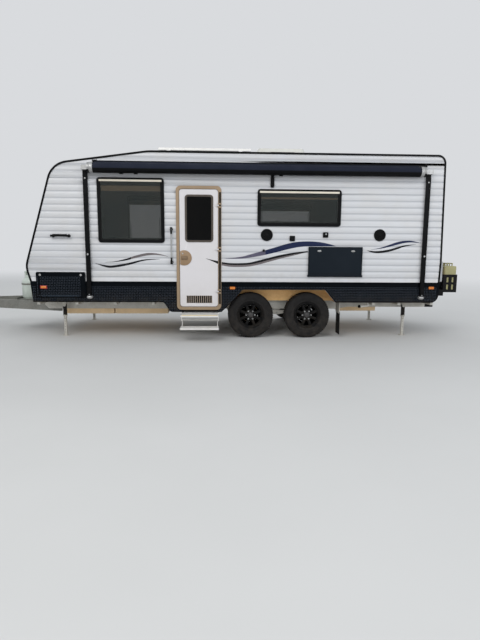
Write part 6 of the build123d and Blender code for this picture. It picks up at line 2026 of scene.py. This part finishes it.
@dataclass
class DrawbarKit(Assembly):
    """Coupling, brake lever, gas cylinders and jockey wheel."""

    deck: float = 0.543
    cylinder_x: float = -0.33
    cylinder_y: float = 0.205
    cylinder_height: float = 0.395
    valve_reach: float = 0.06
    jockey_x: float = -1.19
    jockey_y: float = -0.255
    wheel: Point = (-1.128, -0.255, 0.105)
    crank: Point = (-1.07, -0.255, 0.882)
    rolled_rim: Outline = ((0.1545, 0.0), (0.1565, 0.001), (0.1565, 0.004), (0.1545, 0.005))
    collar_rim: Outline = ((0.0985, 0.0), (0.1035, 0.003), (0.106, 0.0), (0.106, -0.006), (0.0985, -0.006))
    crank_grip: Outline = (
        (0.0, 0.0), (0.0125, 0.0), (0.0135, 0.006), (0.0128, 0.036), (0.0138, 0.07), (0.012, 0.076),
        (0.0, 0.078),
    )
    wheel_hub: Outline = (
        (0.009, 0.0305), (0.024, 0.0305), (0.025, 0.029), (0.033, 0.011), (0.064, 0.0108), (0.07, 0.0265),
        (0.0715, 0.0265), (0.065, 0.0095), (0.009, 0.0095),
    )

    def gas(self) -> None:
        """Hand wheels, regulators and rolled rims of the cylinders."""
        brass, rims = Shape(), Shape()
        x, top = self.cylinder_x, self.deck + self.cylinder_height
        for y in about(0.0, self.cylinder_y):
            grip = brass.block((x + 0.026, x + 0.034), about(y, 0.006), (top + 0.0455, top + 0.0625), 0.002)
            brass.ring_of(grip, (x, y, top), UP, 8)
            brass.rod((x, y, top - 0.002), (x, y, top + 0.012), 0.019, steps=6)
            outlet = top + 0.024
            brass.rod((x + 0.038, y, outlet), (x + 0.056, y, outlet), 0.0125, steps=6, rounding=0.001)
            rims.turned(self.rolled_rim, (x, y, 0.722), UP, 64, True)
            rims.turned(self.collar_rim, (x, y, top + 0.078), UP, 64, True)
        brass.piece("gas_valve_parts", "brass", "gas_paint")
        rims.piece("gas_rolled_rims", "gas_paint", "gas_paint")

    def tow(self) -> None:
        """Bolts of the coupling, grips of the latch and of the brake lever."""
        bolts, grips = Shape(), Shape()
        for stations, rows, height, radius, rounding in (
            ((-1.49, -1.37), (-0.045, 0.045), 0.009, 0.0115, 0.001),
            ((-1.165, -1.095), (0.182, 0.218), 0.007, 0.007, 0.0),
        ):
            for x in stations:
                for y in rows:
                    ends = [(x, y, self.deck), (x, y, self.deck + height)]
                    bolts.rod(*ends, radius, steps=6, rounding=rounding)
        for y in (-0.028, 0.028):
            bolts.rod((-1.62, y, 0.488), (-1.62, y * 1.5, 0.488), 0.009, steps=6)
        bolts.piece("coupling_bolts", "zinc", "black_steel")
        grips.tube([(-1.578, 0.0, 0.5665), (-1.54, 0.0, 0.579), (-1.498, 0.0, 0.5925)], 0.0145, 16)
        grips.tube([(-1.254, 0.209, 0.745), (-1.29, 0.209, 0.796), (-1.322, 0.209, 0.838)], 0.015, 16)
        grips.piece("lever_grips", "rubber", "black_steel")

    def jockey(self) -> None:
        """Clamp screw, collars, crank grip and hub of the jockey wheel."""
        metal, grip, hub = Shape(), Shape(), Shape()
        x, y, z = self.jockey_x, self.jockey_y, 0.485
        metal.rod((x, y - 0.045, z), (x, y - 0.09, z), 0.007)
        metal.rod((x - 0.035, y - 0.087, z), (x + 0.035, y - 0.087, z), 0.006, rounding=0.001)
        for foot, height in ((0.846, 0.012), (0.332, 0.016)):
            collar = ((0.0295, 0.0), (0.0325, 0.0), (0.0325, height), (0.0295, height + 0.002))
            metal.turned(collar, (x, y, foot), UP, 32, True)
        metal.piece("jockey_clamp_screw", "zinc", "galvanised")
        grip.turned(self.crank_grip, self.crank, UP, 24)
        grip.piece("jockey_crank_grip", "black_plastic", "galvanised")
        for side in Side:
            hub.turned(self.wheel_hub, self.wheel, (0, side.value, 0), 32, True)
        hub.piece("jockey_hub", "cap_grey", "rubber", Body.JOCKEY_ROLLER)

    def build(self) -> None:
        """Dress what stands on the drawbar."""
        # the drawbar takes the darker zinc, painted shade
        self.model.refine("drawbar", "aged_zinc", 0.0015)
        x, y, z = spot(self.cylinder_x, self.cylinder_y, self.deck + self.cylinder_height + 0.001)
        tint(
            self.model.refine("gas_cylinders", "gas_paint", 0.0008), "brass",
            lambda at, _: at.z > z and math.hypot(at.x - x, abs(at.y) - y) < self.valve_reach,
        )
        self.dress(
            ("coupling", "black_paint", 0.0012, 2), ("jockey_sleeve", "zinc", 0.001),
            ("jockey_stem", "zinc", 0.001), ("jockey_wheel", "rubber", 0.001, 2),
        )
        self.gas()
        self.tow()
        self.jockey()


@dataclass
class CornerLeg(Assembly):
    """Drop-down corner leg with its holes, pin and foot."""

    across: float = 0.905
    stations: tuple[tuple[str, float], ...] = (("front", 0.455), ("rear", 6.065))
    sleeve: float = 0.331
    half_tube: float = 0.02
    holes: int = 6
    hole_pitch: float = 0.045
    hole_radius: float = 0.0055
    foot_bolt: float = 0.033
    ring_radius: float = 0.016

    def leg(self, label: str, x: float, side: Side) -> None:
        """Dress one leg.

        Args:
            label: End of its node's name.
            x: Its station.
            side: Side of the caravan.
        """
        made = self.model.refine(f"leg_{label}", "zinc", 0.002, 2)
        tint(made, "black_paint", lambda middle, _: middle.z > GROUND + self.sleeve)
        y, out, body = side.value * self.across, side.value, f"leg_{label}_arm"
        holes, metal = Shape(), Shape()
        for way in (-1, 1):
            face = y + way * self.half_tube
            first = holes.rod((x, face, 0.06), (x, face + way * 0.0006, 0.06), self.hole_radius, steps=16)
            holes.row(first, (0, 0, self.hole_pitch), self.holes)
        holes.piece(f"leg_holes_{label}", "rubber", "galvanised", body)
        metal.rod((x, y - 0.04, 0.345), (x, y + 0.04, 0.345), 0.006, rounding=0.001)
        loop = []
        for degrees in range(0, 361, 30):
            along, up = math.sin(math.radians(degrees)), math.cos(math.radians(degrees))
            loop.append((x + self.ring_radius * along, y + out * 0.04, 0.329 + self.ring_radius * up))
        metal.tube(loop, 0.0022, 8)
        metal.block(about(x, 0.029), about(y, 0.029), (0.325, 0.34), 0.002)
        corner = (x - self.foot_bolt, y - self.foot_bolt)
        first = metal.rod((*corner, 0.008), (*corner, 0.013), 0.007, steps=6)
        pair = metal.row(first, (2 * self.foot_bolt, 0, 0), 2)
        metal.row(pair, (0, 2 * self.foot_bolt, 0), 2)
        metal.piece(f"leg_pin_{label}", "zinc", "galvanised", body)

    def build(self) -> None:
        """Dress the four legs."""
        for end, x in self.stations:
            for side in Side:
                self.leg(f"{end}_{side.label}", x, side)


@dataclass
class EntryStep(Assembly):
    """Slide-out double step with grip strips and end caps."""

    x_range: Span = (2.374, 2.964)
    upper_y: Span = (-1.44, -1.222)
    upper_top: float = 0.405
    lower_y: Span = (-1.56, -1.34)
    lower_top: float = 0.225
    grooves: int = 5
    teeth: int = 65
    tooth_pitch: float = 0.008

    def strips(self, name: str, body: str, y: Span, top: float, nosed: bool = False) -> None:
        """Grip strips in a tread's grooves, the strip at its nose and the caps at its ends.

        Args:
            name: Start of the pieces' names.
            body: Body that they ride on.
            y: Front and back of the tread.
            top: Height of its top.
            nosed: Whether its nose has a yellow strip instead of teeth.
        """
        grip, nosing, caps = Shape(), Shape(), Shape()
        x0, x1 = self.x_range
        for index in range(self.grooves):
            middle = y[0] + (index + 0.5) * (y[1] - y[0]) / self.grooves
            depth = (top - 0.0042, top - 0.0006)
            grip.block((x0 + 0.031, x1 - 0.031), about(middle, 0.0062), depth, 0.0004, 1)
            if index > 0 or not nosed:
                depth = (top - 0.001, top + 0.0008)
                tooth = grip.block((x0 + 0.033, x0 + 0.036), about(middle, 0.0056), depth)
                grip.row(tooth, (self.tooth_pitch, 0, 0), self.teeth)
        grip.piece(f"{name}_grip", "mill_aluminium", "step_aluminium", body)
        if nosed:
            inside = (x0 + 0.02, x1 - 0.02)
            nosing.block(inside, (y[0] + 0.004, y[0] + 0.052), (top - 0.0005, top + 0.0012), 0.0005)
            nosing.block(inside, (y[0] + 0.0002, y[0] + 0.003), (top - 0.022, top - 0.006), 0.0005)
            nosing.piece(f"{name}_nosing", "safety_yellow", "step_aluminium", body)
        for ends in ((x0, x0 - 0.004), (x1, x1 + 0.004)):
            caps.block(ends, (y[0] + 0.0005, y[1] - 0.02), (top - 0.0265, top + 0.0005), 0.0015)
        caps.piece(f"{name}_caps", "lamp_grey", "step_aluminium", body)

    def build(self) -> None:
        """Dress both treads."""
        for node in ("step_carriage", "step_tread"):
            self.model.refine(node, "mill_aluminium", 0.0015, 2)
        self.strips("step_upper", Body.STEP_SLIDER, self.upper_y, self.upper_top, True)
        self.strips("step_lower", Body.STEP_LOWER, self.lower_y, self.lower_top)


@dataclass
class WallFittings(Assembly):
    """Speakers, outlets, knob and grab handles on the entrance side."""

    speakers: tuple[Span, ...] = ((3.716, 1.648), (5.509, 1.658))
    rings: tuple[float, ...] = (0.03, 0.041, 0.052, 0.063, 0.074)
    ribs: int = 16
    outlets: tuple[Span, ...] = ((4.118, 1.597), (4.644, 1.655))
    knob: Span = (3.671, 1.407)
    knurls: int = 20
    handles: tuple[tuple[Span, Span], ...] = (((2.23, 1.215), (2.23, 1.723)), ((0.422, 1.61), (0.66, 1.61)))
    handle_y: float = -1.248
    upright_x: Span = (2.15, 2.3)
    speaker_rim: Outline = (
        (0.079, 0.0075), (0.08, 0.0125), (0.086, 0.014), (0.093, 0.0125), (0.0942, 0.0095), (0.0942, 0.008),
        (0.079, 0.006),
    )
    speaker_dome: Outline = ((0.0, 0.0165), (0.014, 0.0155), (0.022, 0.0125), (0.0255, 0.0115), (0.0, 0.0115))

    def speaker_grilles(self) -> None:
        """Rims, rings and ribs of the speaker grilles."""
        shape = Shape()
        for x, z in self.speakers:
            centre = (x, WALL_Y, z)
            shape.turned(self.speaker_rim, centre, OUTWARD, 64, True)
            for radius in self.rings:
                shape.turned(
                    [(radius - 0.0016, 0.008), (radius - 0.0012, 0.0118), (radius + 0.0012, 0.0118),
                     (radius + 0.0016, 0.008)], centre, OUTWARD, 48, True,
                )
            rib = shape.block(about(x, 0.0014), (WALL_Y - 0.0112, WALL_Y - 0.0078), (z + 0.022, z + 0.08))
            shape.ring_of(rib, centre, (0, 1, 0), self.ribs)
            shape.turned(self.speaker_dome, centre, OUTWARD, 32)
        shape.piece("speaker_grilles", "black_plastic", "black_plastic")

    def outlet_lids(self) -> None:
        """Hinged lids of the outlets, the knob's knurl, and the small light beside an outlet."""
        shape, light = Shape(), Shape()
        for x, z in self.outlets:
            shape.block(about(x, 0.033), (-1.2245, -1.2195), (z - 0.034, z + 0.026), 0.002)
            shape.rod((x - 0.03, -1.223, z + 0.031), (x + 0.03, -1.223, z + 0.031), 0.004, rounding=0.001)
            shape.block(about(x, 0.014), (-1.227, -1.2235), (z - 0.036, z - 0.028), 0.0012, 1)
        x, z = self.knob
        knurl = shape.block(about(x, 0.0015), (-1.2235, -1.205), (z + 0.0165, z + 0.0192))
        shape.ring_of(knurl, (x, -1.212, z), (0, 1, 0), self.knurls)
        shape.piece("outlet_lids", "black_plastic", "black_plastic")
        x, z = self.outlets[1][0] + 0.004, self.outlets[1][1] + 0.012
        light.rod((x, -1.224, z), (x, -1.2262, z), 0.011, rounding=0.0008)
        light.piece("outlet_light", "lamp_grey", "black_plastic")

    def handle_feet(self) -> None:
        """Black collars where the grab handles meet their feet."""
        shape = Shape()
        for (x0, z0), (x1, z1) in self.handles:
            start, end = Vector((x0, self.handle_y, z0)), Vector((x1, self.handle_y, z1))
            line = (end - start).normalized()
            for foot, inward in ((start, line), (end, -line)):
                shape.rod(foot - inward * 0.03, foot + inward * 0.075, 0.0175, 0.0135, 24, 0.002)
                shape.rod((foot.x, -1.1995, foot.z), (foot.x, -1.205, foot.z), 0.026, 0.023, 32, 0.001)
        shape.piece("grab_handle_feet", "black_plastic", "black_plastic")

    def build(self) -> None:
        """Dress the fittings."""
        made = self.model.refine("wall_fittings", "black_plastic", 0.0012, 2)
        low, high = (BOW + x for x in self.upright_x)
        tint(made, "cast_silver", lambda middle, _: middle.y < -1.2375 and low < middle.x < high)
        self.speaker_grilles()
        self.outlet_lids()
        self.handle_feet()


@dataclass
class RoofUnits(Assembly):
    """Air conditioner, hatch and solar panels."""

    roof: float = 2.892
    louvres: int = 7
    louvre_pitch: float = 0.02
    hump_height: float = 0.24
    back_lean: float = 0.1
    side_lean: float = 0.06
    hump_end: float = 4.6
    panel_top: float = 0.092

    def air_conditioner(self) -> None:
        """Rear and side louvres of the air conditioner, and a thin dark band along its foot."""
        dark = Shape()
        for index in range(self.louvres):
            up = 0.05 + index * self.louvre_pitch
            z = (self.roof + up, self.roof + up + 0.008)
            rise = up / self.hump_height
            dark.block(about(4.5205 - self.back_lean * rise, 0.004), (-0.24, 0.24), z, 0.001, 1)
            for y in about(0.0, 0.3505 - self.side_lean * rise):
                dark.block((3.85, 4.26), about(y, 0.004), z, 0.001, 1)
        dark.block((3.552, 4.508), (-0.338, 0.338), (self.roof - 0.001, self.roof + 0.006))
        dark.piece("air_conditioner_louvres", "black_plastic", "white_plastic")

    def build(self) -> None:
        """Dress the roof."""
        cover = self.model.shape_of("roof_units")
        hump = [vert for vert in cover.bm.verts if vert.co.x < BOW + self.hump_end]
        cover.rounded(hump, 0.018, 4, 12.0)
        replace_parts(cover.piece("roof_unit_covers", "white_plastic", "white_plastic"), "roof_units")
        self.model.refine("hatch_lid", "white_plastic", 0.004, 3)
        panels = self.model.refine("solar_panels", "mill_aluminium", 0.0008)
        top = GROUND + self.roof + self.panel_top
        tint(panels, "solar_cells", lambda middle, normal: normal.z > 0.9 and abs(middle.z - top) < 0.001)
        self.air_conditioner()


@dataclass
class RearCarrier(Assembly):
    """Fuel cans, their holders, and the lamps at the rear."""

    can_y: Span = (0.701, 1.054)
    can_x: Span = (6.661, 6.869)
    rib_z: float = 1.107
    rib_slant: float = 18.0
    spout_x: float = 6.765
    spout_y: float = 0.761
    knurls: int = 18
    back_x: float = 6.5
    lens_y: Span = (1.088, 1.156)
    lenses: tuple[Span, ...] = ((0.93, 1.024), (1.03, 1.14), (1.146, 1.244))
    amber_z: Span = (1.025, 1.145)

    def cans(self) -> None:
        """Pressed cross ribs and caps of the fuel cans."""
        ribs, caps = Shape(), Shape()
        for side in Side:
            middle = side.value * sum(self.can_y) / 2
            for face, out in zip(self.can_x, (-1, 1)):
                for slant in (-self.rib_slant, self.rib_slant):
                    depth, width = about(face + out * 0.001, 0.001), about(middle, 0.135)
                    rib = ribs.block(depth, width, about(self.rib_z, 0.0075), 0.0008, 1)
                    ribs.tilt(rib, (face, middle, self.rib_z), slant, "X")
            x, y = self.spout_x, side.value * self.spout_y
            caps.rod((x, y, 1.21), (x, y, 1.222), 0.028, rounding=0.002)
            knurl = caps.block((x + 0.0272, x + 0.0292), about(y, 0.002), (1.208, 1.22), 0.0004, 1)
            caps.ring_of(knurl, (x, y, 1.2), UP, self.knurls)
        ribs.piece("can_ribs", "can_plastic", "can_plastic")
        caps.piece("can_caps", "black_plastic", "can_plastic")

    def tail_lamps(self) -> None:
        """Red lenses of the tail lamps, with an amber one between them."""
        shape = Shape()
        for side in Side:
            for z in self.lenses:
                shape.block((6.5795, 6.5825), [side.value * y for y in self.lens_y], z, 0.0014)
        made = shape.piece("tail_lamp_lenses", "lens_red", "lamp_lens")
        low, high = (GROUND + z for z in self.amber_z)
        tint(made, "lens_amber", lambda middle, _: low < middle.z < high)

    def build(self) -> None:
        """Dress the carrier and the lamps."""
        self.dress(("rear_carrier", "black_paint", 0.0015), ("fuel_cans", "can_plastic", 0.0015))
        lamps = self.model.refine("lamps", "lamp_grey", 0.002, 2)
        back = BOW + self.back_x
        tint(lamps, "lens_amber", lambda middle, _: middle.x < back)
        tint(lamps, "lens_red", lambda middle, normal: middle.x > back and normal.x > 0.8)
        self.tail_lamps()
        self.cans()


def main() -> None:
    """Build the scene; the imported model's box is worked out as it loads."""
    logging.basicConfig(level=logging.INFO, format="%(name)s %(message)s")
    model = Model()
    Studio().build()
    for assembly in (
        BodyShell, TreadPlate, Waves, PushOutWindows, EntryDoor, TunnelBoot, PicnicTable, Awning, RoadWheel,
        RunningGear, Chassis, DrawbarKit, CornerLeg, EntryStep, WallFittings, RoofUnits, RearCarrier,
    ):
        LOG.info("%s", assembly.__name__)
        assembly(model).build()


if __name__ == "__main__":
    main()
